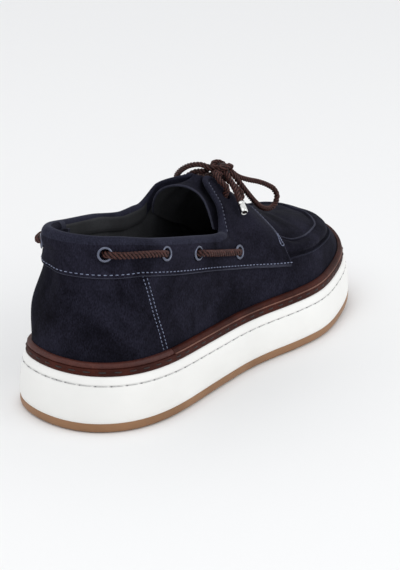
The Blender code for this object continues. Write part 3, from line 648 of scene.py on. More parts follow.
# deep, middle and raised nap, sheen
navy_suede = suede(
    "navy_suede", (0.003, 0.0028, 0.0048), (0.0105, 0.01, 0.0168), (0.027, 0.0266, 0.045), 0.02
)
# a lighter suede painted as a highlight on the collar's rolled top edge and on the moccasin bead
pale_highlight_suede = suede(
    "pale_highlight_suede", (0.008, 0.0079, 0.014), (0.0145, 0.0148, 0.0245), (0.037, 0.038, 0.062), 0.08
)
# a lighter suede painted as a highlight along the saddle's front edges
edge_highlight_suede = suede("edge_highlight_suede", (0.012, 0.012, 0.0205), (0.022, 0.0228, 0.0375), (0.05, 0.0525, 0.084), 0.1)
suede_edge = suede("suede_cut_edge", (0.018, 0.018, 0.028), (0.034, 0.035, 0.052), (0.062, 0.065, 0.09), 0.12)
# effect, dark and light, bump strength and depth, roughness, specular level
lining_leather = mottled("lining_leather", "grain", (0.022, 0.0225, 0.025), (0.041, 0.0425, 0.047),
                         0.25, 0.12, 0.75, 0.3, Pebbles=900.0)
footbed_leather = mottled("footbed_leather", "grain", (0.05, 0.051, 0.055), (0.105, 0.107, 0.113),
                          0.25, 0.12, 0.75, 0.3, Pebbles=900.0)
welt_leather = mottled("welt_leather", "grain", (0.022, 0.0045, 0.003), (0.085, 0.0165, 0.0085),
                       0.3, 0.08, None, 0.12, Pebbles=1800.0)
rand_leather = mottled("rand_leather", "grain", (0.038, 0.0085, 0.0065), (0.125, 0.033, 0.022),
                       0.3, 0.08, None, 0.3, Pebbles=1800.0)
pale_leather = mottled("pale_leather_edge", "grain", (0.10, 0.034, 0.022), (0.34, 0.17, 0.12),
                       0.3, 0.06, None, 0.4, Pebbles=1800.0)
white_rubber = mottled("white_rubber", "moulded", (0.80, 0.797, 0.772), (0.86, 0.857, 0.832),
                       0.12, 0.05, 0.5, 0.4)
gum_rubber = mottled("gum_rubber", "moulded", (0.215, 0.107, 0.047), (0.31, 0.162, 0.079),
                     0.15, 0.06, 0.5, 0.4)
lace_warm = mottled("lace_warm_yarn", "fibre", (0.018, 0.005, 0.0045), (0.088, 0.033, 0.027),
                    0.35, 0.12, 0.55, 0.22)
# a near-black yarn painted as the shade in the braid's grooves, for the low strands, the core and the knot's
# heart
lace_painted_shade = mottled("lace_painted_shade_yarn", "fibre", (0.004, 0.0014, 0.0015), (0.013, 0.0045, 0.0045),
                    0.35, 0.12, 0.6, 0.2)
blue_thread = mottled("blue_thread", "fibre", (0.09, 0.107, 0.175), (0.22, 0.25, 0.36))
shaded_thread = mottled("shaded_thread", "fibre", (0.04, 0.045, 0.075), (0.1, 0.11, 0.16))
brown_thread = mottled("brown_thread", "fibre", (0.006, 0.003, 0.003), (0.02, 0.008, 0.007))
grey_thread = mottled("grey_thread", "fibre", (0.34, 0.34, 0.34), (0.55, 0.55, 0.55))
# grey dots painted as the shade inside the sidewall's needle holes
needle_hole_shade = mottled("needle_hole_shade", "fibre", (0.08, 0.08, 0.085), (0.2, 0.2, 0.21), roughness=0.8)
gunmetal = mottled("gunmetal_enamel", "moulded", (0.10, 0.11, 0.155), (0.16, 0.175, 0.23),
                   0.05, 0.02, 0.32, metallic=0.85, Clouds=300.0)
silver = mottled("bright_silver", "moulded", (0.72, 0.72, 0.7), (0.85, 0.85, 0.83),
                 0.05, 0.02, 0.18, metallic=1.0, Clouds=300.0)

# ---- laces ---------------------------------------------------------------------------------------------
# Routes repeat the part's own, hole by hole.

BAR_HOLES = ((LATERAL, 8.68, 0.85), (MEDIAL, 8.95, 0.84))
TOP_HOLES = ((LATERAL, 7.95, 0.87), (MEDIAL, 8.15, 0.86))
UNDER_KNOT = {LATERAL: (161.0, -8.5, 110.0), MEDIAL: (163.2, 4.6, 110.2)}
KNOT = np.array([167.5, -3.5, 112.5])
LOOP_LATERAL = [
    (174.5, -5, 109.4), (182, -6.4, 103.9), (191, -7.8, 99.8), (202.5, -9.2, 95.6), (210.8, -10.5, 91.6),
    (217.4, -11, 87.3), (220.4, -11.5, 82.2), (218.4, -11.5, 77.9), (211.4, -11.5, 76.4), (202, -11.8, 79.4),
    (193, -12.5, 85.4), (182.4, -13, 94.6), (176, -12.6, 101.2), (172.2, -9.6, 107.6),
]
LOOP_MEDIAL = [
    (160, -1, 114), (159, 5.8, 115), (158.8, 13.4, 113.2), (161.2, 21.2, 108.6), (165.4, 27.6, 102.6),
    (171.2, 30.4, 97.9), (176.8, 27.8, 96.6), (179.2, 21.8, 99.2), (177.2, 15.6, 103.8), (173.4, 10, 108),
    (169.2, 5.8, 110.1),
]
END_LATERAL = [(164.6, -9.6, 110.3), (161.6, -16.1, 105.1), (158, -21.9, 101), (154.2, -26.6, 97.6)]
END_MEDIAL = [(174, 1.2, 110), (180, 7, 105.6), (184, 14.5, 99), (186.4, 21.5, 92.5)]

CORD_STEP = 0.5
STRANDS = 4  # in each direction round the cord
BRAID_PITCH = 10.0  # one turn of a strand
STRAND_CIRCLE = 0.31  # radius that the strands wind at, for a cord 1 across
# the rest is for a cord LACE across: how far a strand rises and dips as it crosses another, how far
# the two directions lie off that circle, and each one's half width and half thickness
WEAVE = 0.18
LAYER = {1: 0.16, -1: -0.12}
STRAND_SIZE = {1: (0.66, 0.56), -1: (0.6, 0.4)}
STRAND_RING, CORE_RING = 6, 8  # points round a strand and round the core


def spokes_round(line, sides, radius_first, radius_second, first, second):
    """Rings of sides points round each point of a line, as one list."""
    angles = np.linspace(0, 2 * math.pi, sides, endpoint=False)
    along_first = first[:, None] * (radius_first * np.cos(angles))[None, :, None]
    along_second = second[:, None] * (radius_second * np.sin(angles))[None, :, None]
    return (line[:, None] + along_first + along_second).reshape(-1, 3)


def tube_points(line, radius, sides):
    _, first, second = frames_along(line)
    return spokes_round(line, sides, radius, radius, first, second)


def braid(line, diameter):
    """Points, faces and finishes of the strands of a round braid along an even line, and its core."""
    _, first, second = frames_along(line)
    s = np.concatenate([[0], np.cumsum(np.linalg.norm(np.diff(line, axis=0), axis=1))])
    middle, size = diameter * STRAND_CIRCLE, diameter / LACE
    tubes, finishes = [], []
    for direction, k in itertools.product((1, -1), range(STRANDS)):
        angle = 2 * math.pi * (direction * s / BRAID_PITCH + k / STRANDS)
        over = direction * np.cos(2 * math.pi * STRANDS * s / BRAID_PITCH)
        radius = middle + size * (WEAVE * over + LAYER[direction])
        out = np.cos(angle)[:, None] * first + np.sin(angle)[:, None] * second
        centre = line + out * radius[:, None]
        along = unit(np.gradient(centre, axis=0))
        across = unit(np.cross(along, out))
        wide, thick = (half * size for half in STRAND_SIZE[direction])
        faces = tube_faces(len(line), STRAND_RING)
        tubes.append((spokes_round(centre, STRAND_RING, wide, thick, across, np.cross(across, along)), faces))
        # the strands wound the other way lie lower and take the dark yarn, painted shade in the grooves; so
        # does the core
        finishes += [0 if direction > 0 else 1] * len(faces)
    core_faces = tube_faces(len(line), CORE_RING)
    tubes.append((tube_points(line, middle * 0.95, CORE_RING), core_faces))
    return *joined(tubes), finishes + [1] * len(core_faces)


def add_lace(name, route, replaced=(), diameter=BOW_LACE):
    line = smooth_line(route, CORD_STEP)
    points, faces, finishes = braid(line, diameter)
    made = add_piece(name, points, faces, [lace_warm, lace_painted_shade], replaced, "brown_cord", finishes)
    return made, line


def lace_entry(place, normal, along, height):
    """A lace's way out of a hole at place, turning over the hole's rim into the direction along."""
    return [
        place + normal * 0.2 + along * 0.1,
        place + normal * 1.9 + along * 0.6,
        place + normal * (height - 1.3) + along * 2.0,
        place + normal * height + along * 4.4,
    ]


def lace_between(places, height, taut=False):
    """A lace over the last from hole to hole; places hold (side, rib, t) for each point."""
    points = [rib_point(*place) for place in places]
    normals = [rib_normal(*place) for place in places]
    if taut:
        shares = np.linspace(0, 1, len(points))[:, None]
        straight = points[0] * (1 - shares) + points[-1] * shares
        points = [q + n * ((p - q) @ n) for p, q, n in zip(points, straight, normals)]
    raised = [p + n * height for p, n in zip(points, normals)]
    first, last = unit(raised[1] - raised[0]), unit(raised[-2] - raised[-1])
    return (
        lace_entry(points[0], normals[0], first, height)
        + raised[1:-1]
        + list(reversed(lace_entry(points[-1], normals[-1], last, height)))
    )


def side_word(side):
    return "lateral" if side == LATERAL else "medial"


def add_side_laces():
    for side in (LATERAL, MEDIAL):
        for word, ((a, t), (b, u)) in (("rear", EYELETS[:2]), ("front", EYELETS[2:])):
            places = [(side, a + (b - a) * k, t + (u - t) * k) for k in (0, 0.25, 0.5, 0.75, 1)]
            name = f"run_{side_word(side)}_{word}"
            add_lace(f"braided_{name}", lace_between(places, 4.9, True), [f"lace_{name}"], LACE)


def add_throat_laces():
    edges = [(side, a, 1.0) for side, a, _ in BAR_HOLES]
    path = lace_between([BAR_HOLES[0], *edges, BAR_HOLES[1]], 6.3)
    middle = len(path) // 2
    path.insert(middle, (path[middle - 1] + path[middle]) / 2 + np.array([0.6, 0, 2.6]))
    add_lace("braided_throat_bar", path, ["lace_bar"])
    for side, a, t in TOP_HOLES:
        over = [last_offset(side, a + 0.12, 0.94, 5.2), last_offset(side, a + 0.3, 1.0, 5.4)]
        hole, normal = rib_point(side, a, t), rib_normal(side, a, t)
        ahead = unit(over[0] - hole)
        path = [hole + normal * 0.3, hole + normal * 2.2 + ahead * 0.9, hole + normal * 4.2 + ahead * 3.4]
        path += [*over, np.array(UNDER_KNOT[side])]
        add_lace(f"braided_top_{side_word(side)}", path, [f"lace_top_{side_word(side)}"])


# the crossing turns of the knot, about its middle: x, y, z
KNOT_TURN = [
    (-5.6, 0.6, -2.0), (-4.6, 3.0, 0.6), (-1.4, 4.0, 2.7), (2.4, 2.8, 2.4), (3.4, -0.4, 1.0),
    (-0.6, -1.2, 1.2), (-3.8, -2.4, 0.8), (-3.0, -4.8, 1.4), (0.0, -5.6, 1.9), (3.4, -5.0, 0.6),
    (5.0, -2.4, -1.8), (3.4, 1.8, -2.2),
]
# the heart's dark yarn is painted shade in the gaps between the knot's turns
HEART_SIZE = (5.6, 5.6, 6.0)  # half sizes of the dark ball that fills the knot
HEART_DROP = 3.0


def add_knot():
    add_lace("braided_knot", KNOT + np.array(KNOT_TURN), ["lace_knot"])
    core = bmesh.new()
    bmesh.ops.create_icosphere(core, subdivisions=4, radius=1)
    ball = np.array([v.co for v in core.verts]) * HEART_SIZE + KNOT - np.array([0, 0, HEART_DROP])
    faces = [[v.index for v in f.verts] for f in core.faces]
    add_piece("knot_heart", ball, faces, [lace_painted_shade], (), "brown_cord")
    core.free()


def add_bow():
    add_knot()
    for word, route in (("lateral", LOOP_LATERAL), ("medial", LOOP_MEDIAL)):
        route = [KNOT + (np.array(route[0]) - KNOT) * 0.4, *route, KNOT + (np.array(route[-1]) - KNOT) * 0.4]
        loop, line = add_lace(f"bow_loop_{word}", route, [f"lace_loop_{word}"])
    for word, route in (("lateral", END_LATERAL), ("medial", END_MEDIAL)):
        run = unit(np.array(route[-1]) - np.array(route[-2]))
        start = np.array(route[-1]) + run * GAP
        aglet = add_aglet(word, start, run)
        route = [KNOT + (np.array(route[0]) - KNOT) * 0.1, *route, start + run * (AGLET_LENGTH - 2.2)]
        end, line = add_lace(f"bow_end_{word}", route, [f"lace_end_{word}"])


def add_aglet(word, start, run):
    """A drawn metal tip: rolled mouth, one crimped groove, and a lipped open end."""
    outer = AGLET_OUTER / 2
    profile = [
        (outer - 0.35, -0.1), (outer - 0.05, 0.15), (outer, 0.6), (outer, 1.3), (outer - 0.22, 1.6),
        (outer - 0.22, 1.9), (outer, 2.2), (outer, AGLET_LENGTH - 0.7), (outer - 0.15, AGLET_LENGTH - 0.2),
        (outer - 0.5, AGLET_LENGTH), (outer - 0.95, AGLET_LENGTH - 0.25), (outer - 1.05, AGLET_LENGTH - 1.6),
        (outer - 1.0, AGLET_LENGTH - 1.9), (outer - 1.0, 0.2),
    ]
    return turned(
        f"drawn_aglet_{word}", profile, 40, start, run, silver, replaced=[f"aglet_{word}"], slot="aglet_metal"
    )


add_bow()
add_side_laces()
add_throat_laces()

# ---- sole ----------------------------------------------------------------------------------------------

SPINE_HEEL, SPINE_TOE = 42.0, 252.0
FINE_RIBS = np.linspace(0, A_TOE, A_TOE * 13 + 1)
INNER_SHARES = (0.06, 0.2, 0.45, 0.7, 0.9, 1.0)


def sole_loop(inset, height):
    """One loop around the sole: inset from the outline, at height(x)."""
    return sole_line(*ring(FINE_RIBS), inset, height)


def inner_loop(outer, share, height):
    """The loop moved towards the sole's middle line by share; at 1 its two sides coincide."""
    _, a = ring(FINE_RIBS)
    middle = SPINE_HEEL + (SPINE_TOE - SPINE_HEEL) * smooth_step(0, 1, a / A_TOE)
    x = outer[:, 0] + (middle - outer[:, 0]) * share
    return np.stack([x, outer[:, 1] * (1 - share), height(x)], 1)


def sole_body(name, loops, bottom, top, finish, replaced, slot, sharp=40):
    """A closed body from loops stacked bottom to top, with its two faces filled."""
    low = [inner_loop(loops[0], share, bottom) for share in reversed(INNER_SHARES)]
    high = [inner_loop(loops[-1], share, top) for share in INNER_SHARES]
    every = low + loops + high
    faces = grid_faces(len(every), len(loops[0]), False, True)
    add_piece(name, np.concatenate(every), faces, [finish], [replaced], slot, join=0.01, sharp=sharp)


def add_outsole():
    top = GUM_THICKNESS - 0.05
    rounded = [(2.0, 0.0), (1.35, 0.2), (0.8, 0.65), (0.4, 1.3), (0.15, 2.2), (0.0, 3.5), (0.0, top - 0.6),
               (0.12, top - 0.2), (0.45, top)]
    loops = [sole_loop(inset, from_floor(rise)) for inset, rise in rounded]
    sole_body("gum_outsole", loops, from_floor(0), from_floor(top), gum_rubber, "outsole", "gum_rubber")


STITCH_LINE_DROP = 5.1  # the sidewall's stitched groove, below the cup's edge
# sidewall of the cup, from its foot up: inset, share of the wall's height
SIDEWALL = [(0.45, 0.0), (0.2, 0.02), (0.05, 0.08), (0.0, 0.18), (0.25, 0.34), (0.7, 0.5), (1.3, 0.66),
            (1.9, 0.78), (2.5, 0.88), (3.2, 0.955), (3.7, 0.985), (4.3, 1.0)]


def sidewall_inset(share):
    insets, shares = zip(*SIDEWALL)
    return np.interp(share, shares, insets)


def add_cup_sole():
    """The cup: a wall that leans in as it rises, with a fine groove for the stitching near the top."""
    shares = np.unique(np.concatenate([np.linspace(0, 0.7, 18), np.linspace(0.7, 1.0, 34)]))
    side, a = ring(FINE_RIBS)
    loops = []
    for share in shares:
        inset = sidewall_inset(share)
        x = inset_point(side, a, inset)[:, 0]
        foot, head = spring(x) + GUM_THICKNESS, cup_top(x)
        z = foot + (head - foot) * share
        groove = 0.55 * bump_at(head - z, STITCH_LINE_DROP, 0.45)
        loops.append(np.column_stack([inset_point(side, a, inset + groove), z]))
    lip = ((LIP_INNER_INSET - 0.3, 0), (LIP_INNER_INSET, 0.3), (LIP_INNER_INSET, CUP_DEPTH))
    loops += [sole_loop(inset, from_top(drop)) for inset, drop in lip]
    bottom, top = from_floor(GUM_THICKNESS), from_top(CUP_DEPTH)
    sole_body("cup_sole", loops, bottom, top, white_rubber, "midsole", "white_rubber", sharp=60)


def add_footbed():
    inset = UPPER_INSET + WALL + GAP
    low = CUP_DEPTH - GAP
    high = low - INSOLE_THICKNESS
    edge = ((inset, low), (inset, high + 0.8), (inset + 0.3, high + 0.2), (inset + 1.0, high))
    loops = [sole_loop(inset, from_top(drop)) for inset, drop in edge]
    sole_body("footbed", loops, from_top(low), from_top(high), footbed_leather, "insole", "lining_leather")


# welt and rand: inset from the sole's outline, rise over the cup's edge
WELT_SECTION = [(4.2, 0.1), (4.05, 0.6), (4.1, 1.5), (4.3, 2.1), (4.32, 2.7), (4.2, 3.2), (4.45, 3.8),
                (5.0, 4.2), (6.2, 4.35), (7.7, 4.35), (7.7, 0.1)]
RAND_SECTION = [(5.3, 4.4), (4.95, 4.8), (4.85, 5.5), (5.05, 6.4), (5.5, 7.05), (6.2, 7.4), (7.6, 7.4),
                (7.6, 4.4)]


def add_strip(name, section, places, finish, replaced, closed=False):
    """A strip along (sides, ribs) around the shoe, from a closed section of (inset, rise)."""
    loops = [sole_line(*places, inset, from_top(-rise)) for inset, rise in section]
    size, length = len(section), len(loops[0])
    faces = grid_faces(size, length, True, True) if closed else strip_faces(size, length)
    add_piece(name, np.concatenate(loops), faces, [finish], [replaced], "brown_leather", sharp=40)


def add_welt():
    add_strip("welt_strip", WELT_SECTION, ring(FINE_RIBS), welt_leather, "welt", closed=True)
    add_strip("rand_around_heel", RAND_SECTION, around_heel(A_COUNTER, 50), rand_leather, "rand_heel")
    front = around_toe(A_COUNTER + 0.01, 170)
    add_strip("rand_around_front", RAND_SECTION, front, welt_leather, "rand_front")


add_outsole()
add_cup_sole()
add_footbed()
add_welt()

# ---- upper ---------------------------------------------------------------------------------------------

# up the skin, with more rows at the crease and at the apron seam
UPPER_T = np.unique(np.concatenate([
    np.linspace(0, 1, 53), 1 / 3 + np.linspace(-0.04, 0.04, 9), 2 / 3 + np.linspace(-0.04, 0.04, 11),
]))
LINING_T = np.linspace(1, 0, 18)
# soft creases: side, rib and t at one end, rib and t at the other, half width, depth (up is positive)
FOLDS = [
    (LATERAL, 11.4, 0.74, 11.9, 0.98, 5.0, -0.7),
    (MEDIAL, 11.4, 0.74, 11.9, 0.98, 5.0, -0.7),
    (LATERAL, 12.4, 0.78, 12.8, 0.98, 4.0, -0.45),
    (MEDIAL, 12.3, 0.78, 12.8, 0.98, 4.0, -0.45),
    (LATERAL, 9.9, 0.30, 10.8, 0.12, 5.0, -0.5),
    (MEDIAL, 9.9, 0.30, 10.8, 0.12, 5.0, -0.5),
    (LATERAL, 4.3, 0.10, 5.6, 0.34, 9.0, -0.6),
    (LATERAL, 5.4, 0.08, 7.2, 0.30, 8.0, 0.5),
    (LATERAL, 7.3, 0.12, 8.6, 0.36, 6.0, -0.5),
    (MEDIAL, 4.6, 0.10, 6.2, 0.36, 9.0, -0.6),
    (MEDIAL, 6.8, 0.12, 8.2, 0.36, 7.0, -0.5),
    (LATERAL, 0.6, 0.20, 1.1, 0.55, 7.0, -0.5),
    (LATERAL, 1.7, 0.16, 2.2, 0.50, 7.0, 0.4),
    (MEDIAL, 1.2, 0.20, 1.7, 0.55, 7.0, -0.5),
]


def fold_relief(points, side):
    """How far the soft creases raise or sink the skin at these points."""
    total = np.zeros(points.shape[:-1])
    for fold_side, a, t, b, u, width, depth in FOLDS:
        start, end = rib_point(fold_side, a, t), rib_point(fold_side, b, u)
        run = end - start
        share = np.clip(((points - start) @ run) / (run @ run), 0, 1)
        away = np.linalg.norm(points - start - share[..., None] * run, axis=-1)
        fade = 0.35 + 0.65 * np.sin(np.pi * np.clip(share, 0.02, 0.98))
        total += np.where(side == fold_side, depth * fade * np.exp(-((away / width) ** 2)), 0)
    return total


def moccasin_relief(a, t):
    """Height of the toe over the last: a crease, a puffed roll above it and a ridge round the apron."""
    edge = front_edge((t - 0.28) / 0.72)
    crease = -1.9 * bump_at(t, 0.35, 0.03)
    roll = 1.9 * np.sin(np.pi * np.clip((t - 0.36) / (2 / 3 - 0.36), 0, 1)) ** 1.1
    ridge = 0.75 * bump_at(t, 2 / 3, 0.012) - 0.45 * bump_at(t, 2 / 3 + 0.03, 0.014)
    ridge -= 0.3 * bump_at(t, 0.638, 0.012)
    apron = -0.4 * smooth_step(0.667, 0.70, t)
    return smooth_step(9.0, 9.5, a) * crease + smooth_step(edge + 0.1, edge + 0.7, a) * (roll + ridge + apron)


# front edge of the heel counter: t, rib
COUNTER_EDGE = [(0.0, 3.2), (0.16, 3.1), (0.33, 2.97), (0.65, 2.76), (1.0, 2.6)]


def counter_relief(a, t):
    """The heel counter lies over the quarter and ends in a cut edge."""
    edge = np.interp(t, *zip(*COUNTER_EDGE))
    return 0.45 * (1 - smooth_step(edge - 0.03, edge + 0.03, a))


def skin_offset(side, a, t):
    points = rib_point(side, a, t)
    return moccasin_relief(a, t) + counter_relief(a, t) + fold_relief(points, side)


def wall_at(a, t):
    """Thickness of the upper, skived thin along the lacing edge."""
    return WALL - SKIVED * slimness(a) * (1 - smooth_step(9.5, 10.2, a)) * smooth_step(0.72, 0.88, t)


def add_upper():
    side, a = ring(FINE_RIBS)
    columns = len(a)
    up, down = UPPER_T[:, None], LINING_T[:, None]
    outer = last_offset(side[None], a[None], up, skin_offset(side[None], a[None], up))
    inner = last_offset(side[None], a[None], down, -wall_at(a[None], down))
    foot = from_top(CUP_DEPTH - GAP)
    skirts = [sole_line(side, a, UPPER_INSET + inset, foot)[None] for inset in (0.0, WALL)]
    loops = np.concatenate([skirts[0], outer, inner, skirts[1]])
    faces = grid_faces(len(loops), columns, True, True)
    row, column, beside = faces[:, 0] // columns, faces[:, 0] % columns, faces[:, 1] % columns
    # both sides meet along the spine, where the shell needs no edge
    kept = (row != len(UPPER_T)) | (np.minimum(a[column], a[beside]) < A_SPINE - 1e-6)
    finish = np.where(row > len(UPPER_T), 1, 0)
    add_piece(
        "suede_upper", loops.reshape(-1, 3), faces[kept], [navy_suede, lining_leather], ["upper"],
        "navy_suede", finish[kept], join=0.02, sharp=60,
    )


# ---- saddle --------------------------------------------------------------------------------------------


def padding_at(depth):
    """Swell of the rolled collar over the plain band, by how far below the edge."""
    roll = PADDING * (1 - smooth_step(2.5, 9.0, depth)) + 0.3 * bump_at(depth, 4.0, 2.4)
    return roll - 0.3 * bump_at(depth, 10.0, 1.8)


def saddle_skin(side, station, share):
    """Points and normals on the saddle's face."""
    a, t = saddle_place(side, station, share)
    foot, top = rib_point(side, a, t), rib_point(side, a, 1.0)
    depth = np.linalg.norm(top - foot, axis=-1)
    slim = slimness(station)
    piped = 0.45 * bump_at(depth, 0.7, 1.0) - 0.45 * bump_at(depth, 2.3, 0.8)
    skived = FACING_SKIVE * (1 - smooth_step(1.5, 6.5, depth))
    offset = SEAM + SADDLE + padding_at(depth) * (1 - slim) + (piped - skived) * slim
    return last_offset(side, a, t, offset), rib_normal(side, a, t)


# up the face from the hem, and how far its cut edge is rounded off there
SKIN_SHARES = np.concatenate([
    [0.0, 0.006, 0.018, 0.034], np.linspace(0.06, 0.86, 38), np.linspace(0.875, 0.99, 14),
])
EDGE_ROUNDING = np.concatenate([[-1.0, -0.55, -0.2, -0.05], np.zeros(len(SKIN_SHARES) - 4)])
ROLL_DEGREES = np.linspace(8, 180, 15)  # over the rolled top edge
# the flap inside: share of the way down it, share of its thickness skived off
FLAP_ROWS = [(0.12, 0.0), (0.38, 0.0), (0.55, 0.05), (0.7, 0.15), (0.85, 0.45), (0.97, 0.8)]


def saddle_sections(side, stations):
    """Closed sections: the face, the rolled edge and the flap folded inside, around the upper's wall."""
    padded = 1 - slimness(stations)
    inside = -wall_at(stations, 1.0) - SEAM * (0.1 + 0.9 * padded)
    lining = LINING * (0.3 + 0.7 * padded)
    side = np.broadcast_to(side, stations.shape)
    top, normal = rib_point(side, stations, 1.0), last_normal(side, stations, 1.0)
    beyond = edge_direction(side, stations)
    rows = []
    for share, rounding in zip(SKIN_SHARES, EDGE_ROUNDING):
        skin, out = saddle_skin(side, stations, share)
        rows.append(skin + out * rounding)
    outside = (SEAM + SADDLE - FACING_SKIVE * (1 - padded))[:, None]
    centre = top + normal * (outside + (inside - lining)[:, None]) / 2
    for degrees in ROLL_DEGREES:
        angle = math.radians(degrees)
        swell = (PADDING * padded + 0.2 * (1 - padded)) * math.cos(angle / 2)
        radius = (outside[:, 0] - inside + lining) / 2 + swell
        rows.append(centre + (normal * math.cos(angle) + beyond * math.sin(angle)) * radius[:, None])
    last_third = np.linalg.norm(top - rib_point(side, stations, 2 / 3), axis=-1)
    flap = 1 - HOOK_DEPTH / last_third / 3
    for share, sink in FLAP_ROWS:
        rows.append(last_offset(side, stations, 1 + (flap - 1) * share, inside - lining * (1 - sink)))
    rows.append(last_offset(side, stations, flap, inside - lining * 0.1))
    rows.append(last_offset(side, stations, flap, inside))
    rows += [top + normal * inside[:, None] + beyond * SEAM, top + normal * SEAM + beyond * SEAM]
    for share in (0.87, 0.72, 0.54, 0.38, 0.2, 0.0):
        rows.append(last_offset(side, *saddle_place(side, stations, share), SEAM))
    return np.array(rows)


SADDLE_STATIONS = np.concatenate([
    np.linspace(0, A_APEX, A_APEX * 15 + 1), np.linspace(A_APEX, A_SADDLE, 40)[1:],
])
SADDLE_FINISHES = [navy_suede, lining_leather, pale_highlight_suede, suede_edge, edge_highlight_suede]
SUEDE, LINED, PALE_HIGHLIGHT, CUT_EDGE, EDGE_HIGHLIGHT = range(len(SADDLE_FINISHES))
GRIP_SEAM = (2.6, 2.9)  # ribs between which the heel grip's front hem lies


def add_drill(places):
    """One cutter made of a short cylinder through the saddle's face at each (point, normal, diameter)."""
    shape = bmesh.new()
    for place, normal, diameter in places:
        turn = Vector((0, 0, 1)).rotation_difference(Vector(normal)).to_matrix().to_4x4()
        turn.translation = Vector(in_metres(place + normal * 4.2))
        radius = diameter / 2 * MM
        bmesh.ops.create_cone(
            shape, cap_ends=True, segments=32, radius1=radius, radius2=radius, depth=9.0 * MM, matrix=turn
        )
    data = bpy.data.meshes.new("saddle_punch")
    shape.to_mesh(data)
    shape.free()
    return link_object("saddle_punch", data)


def saddle_finish(first, length):
    """The finish of each face, by its first point, where the section's points run in rows of this length."""
    row, column = first // length - len(SKIN_SHARES), first % length  # row 0 starts the rolled edge
    station = np.concatenate([SADDLE_STATIONS[::-1], SADDLE_STATIONS[1:]])[column]
    roll, flap_end = len(ROLL_DEGREES), len(ROLL_DEGREES) + len(FLAP_ROWS) + 2
    inside = row < flap_end
    lining_start = np.where(slimness(station) > 0.5, roll + 4, roll * 0.72)
    # the rolled top edge and the face rows just under it take the lighter suede, a painted highlight
    finish = np.where((row > -3) & inside, PALE_HIGHLIGHT, SUEDE)
    finish[(row > lining_start) & inside & (station > GRIP_SEAM[1])] = LINED
    face = row < 0
    # a painted highlight: a lighter streak behind the front edges, above the hem
    finish[(first // length > 16) & face & ((column < 7) | (column > length - 9))] = EDGE_HIGHLIGHT
    heel = (row > roll * 0.5) & inside & (station <= GRIP_SEAM[1])
    finish[heel] = np.where(station[heel] > GRIP_SEAM[0], CUT_EDGE, SUEDE)
    front_edge_face = face & ((column < 1) | (column > length - 3))
    finish[(first // length < 3) | (row >= flap_end + 5) | front_edge_face] = CUT_EDGE
    finish[-2:] = CUT_EDGE
    return finish


def add_saddle():
    lateral = saddle_sections(LATERAL, SADDLE_STATIONS[::-1])
    medial = saddle_sections(MEDIAL, SADDLE_STATIONS[1:])
    rows = np.concatenate([lateral, medial], axis=1)
    size, length = rows.shape[:2]
    faces = strip_faces(size, length)
    finish = saddle_finish(np.array([face[0] for face in faces]), length)
    points = rows.reshape(-1, 3)
    saddle = add_piece(
        "suede_saddle", points, faces, SADDLE_FINISHES, ["saddle"], "navy_suede", finish, sharp=60
    )
    holes = [((side, a, t), EYELET_HOLE + 1.2) for side in (LATERAL, MEDIAL) for a, t in EYELETS]
    holes += [(place, LACE_HOLE) for place in TOP_HOLES + BAR_HOLES]
    cutter = add_drill([(rib_point(*place), rib_normal(*place), diameter) for place, diameter in holes])
    punch = saddle.modifiers.new("punch", "BOOLEAN")
    punch.object = cutter
    punch.operation = "DIFFERENCE"
    punch.solver = "EXACT"
    bpy.context.view_layer.update()
    punched = bpy.data.meshes.new_from_object(saddle.evaluated_get(bpy.context.evaluated_depsgraph_get()))
    saddle.modifiers.clear()
    saddle.data = punched
    bpy.data.objects.remove(cutter)


def add_heel_grip():
    """The suede patch that lines the heel, its front edges in the lighter cut-edge suede."""
    side, a = around_heel(GRIP_SEAM[1] + 0.15, 60)
    down = np.linspace(0.995, 0.495, 26)
    outside = -WALL - SEAM - LINING - 0.15
    rows = [last_offset(side, a, t, outside - 1.0) for t in down]
    rows += [last_offset(side, a, t, outside) for t in down[::-1]]
    faces = strip_faces(len(rows), len(a))
    column = np.array([face[0] for face in faces]) % len(a)
    hemmed = np.where((column < 2) | (column > len(a) - 4), 1, 0)
    points, finishes = np.concatenate(rows), [navy_suede, suede_edge]
    add_piece("heel_grip", points, faces, finishes, (), "navy_suede", hemmed, sharp=40)


# ---- tongue --------------------------------------------------------------------------------------------

TONGUE_DEPTH = WALL + SEAM + LINING + 0.8
TONGUE_LIFT = 6.5
TONGUE_STATIONS = (8.0, 8.6, 9.2, 9.8, 10.4, 10.9)
TONGUE_T = (0.58, 0.68, 0.79, 0.89, 0.97)
TONGUE_RIM = [
    (132, -22.6, 86), (134, -18.2, 94.5), (136.2, -12.6, 101.6), (137, -6, 106.1), (136.2, 1.5, 108.4),
    (135, 11, 107.4), (133, 18.5, 103), (133, 23, 95.5), (136, 25.6, 87),
]


def tongue_row(a, depth):
    """One arch of the tongue, under the facings from the lateral side across to the medial one."""
    lateral = [last_offset(LATERAL, a, t, -depth) for t in TONGUE_T]
    medial = [last_offset(MEDIAL, a, t, -depth) for t in reversed(TONGUE_T)]
    start, end = lateral[-1], medial[0]
    reach = (end[1] - start[1]) * 0.9
    lift = np.array([0, 0, TONGUE_LIFT * bump_at(a, 8.3, 0.85)])
    middle = [
        hermite(start, end, unit(start - lateral[-2]) * reach, unit(medial[1] - end) * reach, b) + lift
        for b in (0.25, 0.5, 0.75)
    ]
    return lateral + middle + medial


def tongue_rim(depth):
    """The rim's points, as many as a row has, moved in towards the foot by depth."""
    route = np.array(TONGUE_RIM, float)
    centre = np.array([route[0][0], (route[0][1] + route[-1][1]) / 2, route[0][2]])
    slopes = end_slopes(route)
    points = []
    for along in np.linspace(0, len(route) - 1, 2 * len(TONGUE_T) + 3):
        i = min(int(along), len(route) - 2)
        point = hermite(route[i], route[i + 1], slopes[i], slopes[i + 1], along - i)
        points.append(point + unit(centre - point) * depth)
    return points


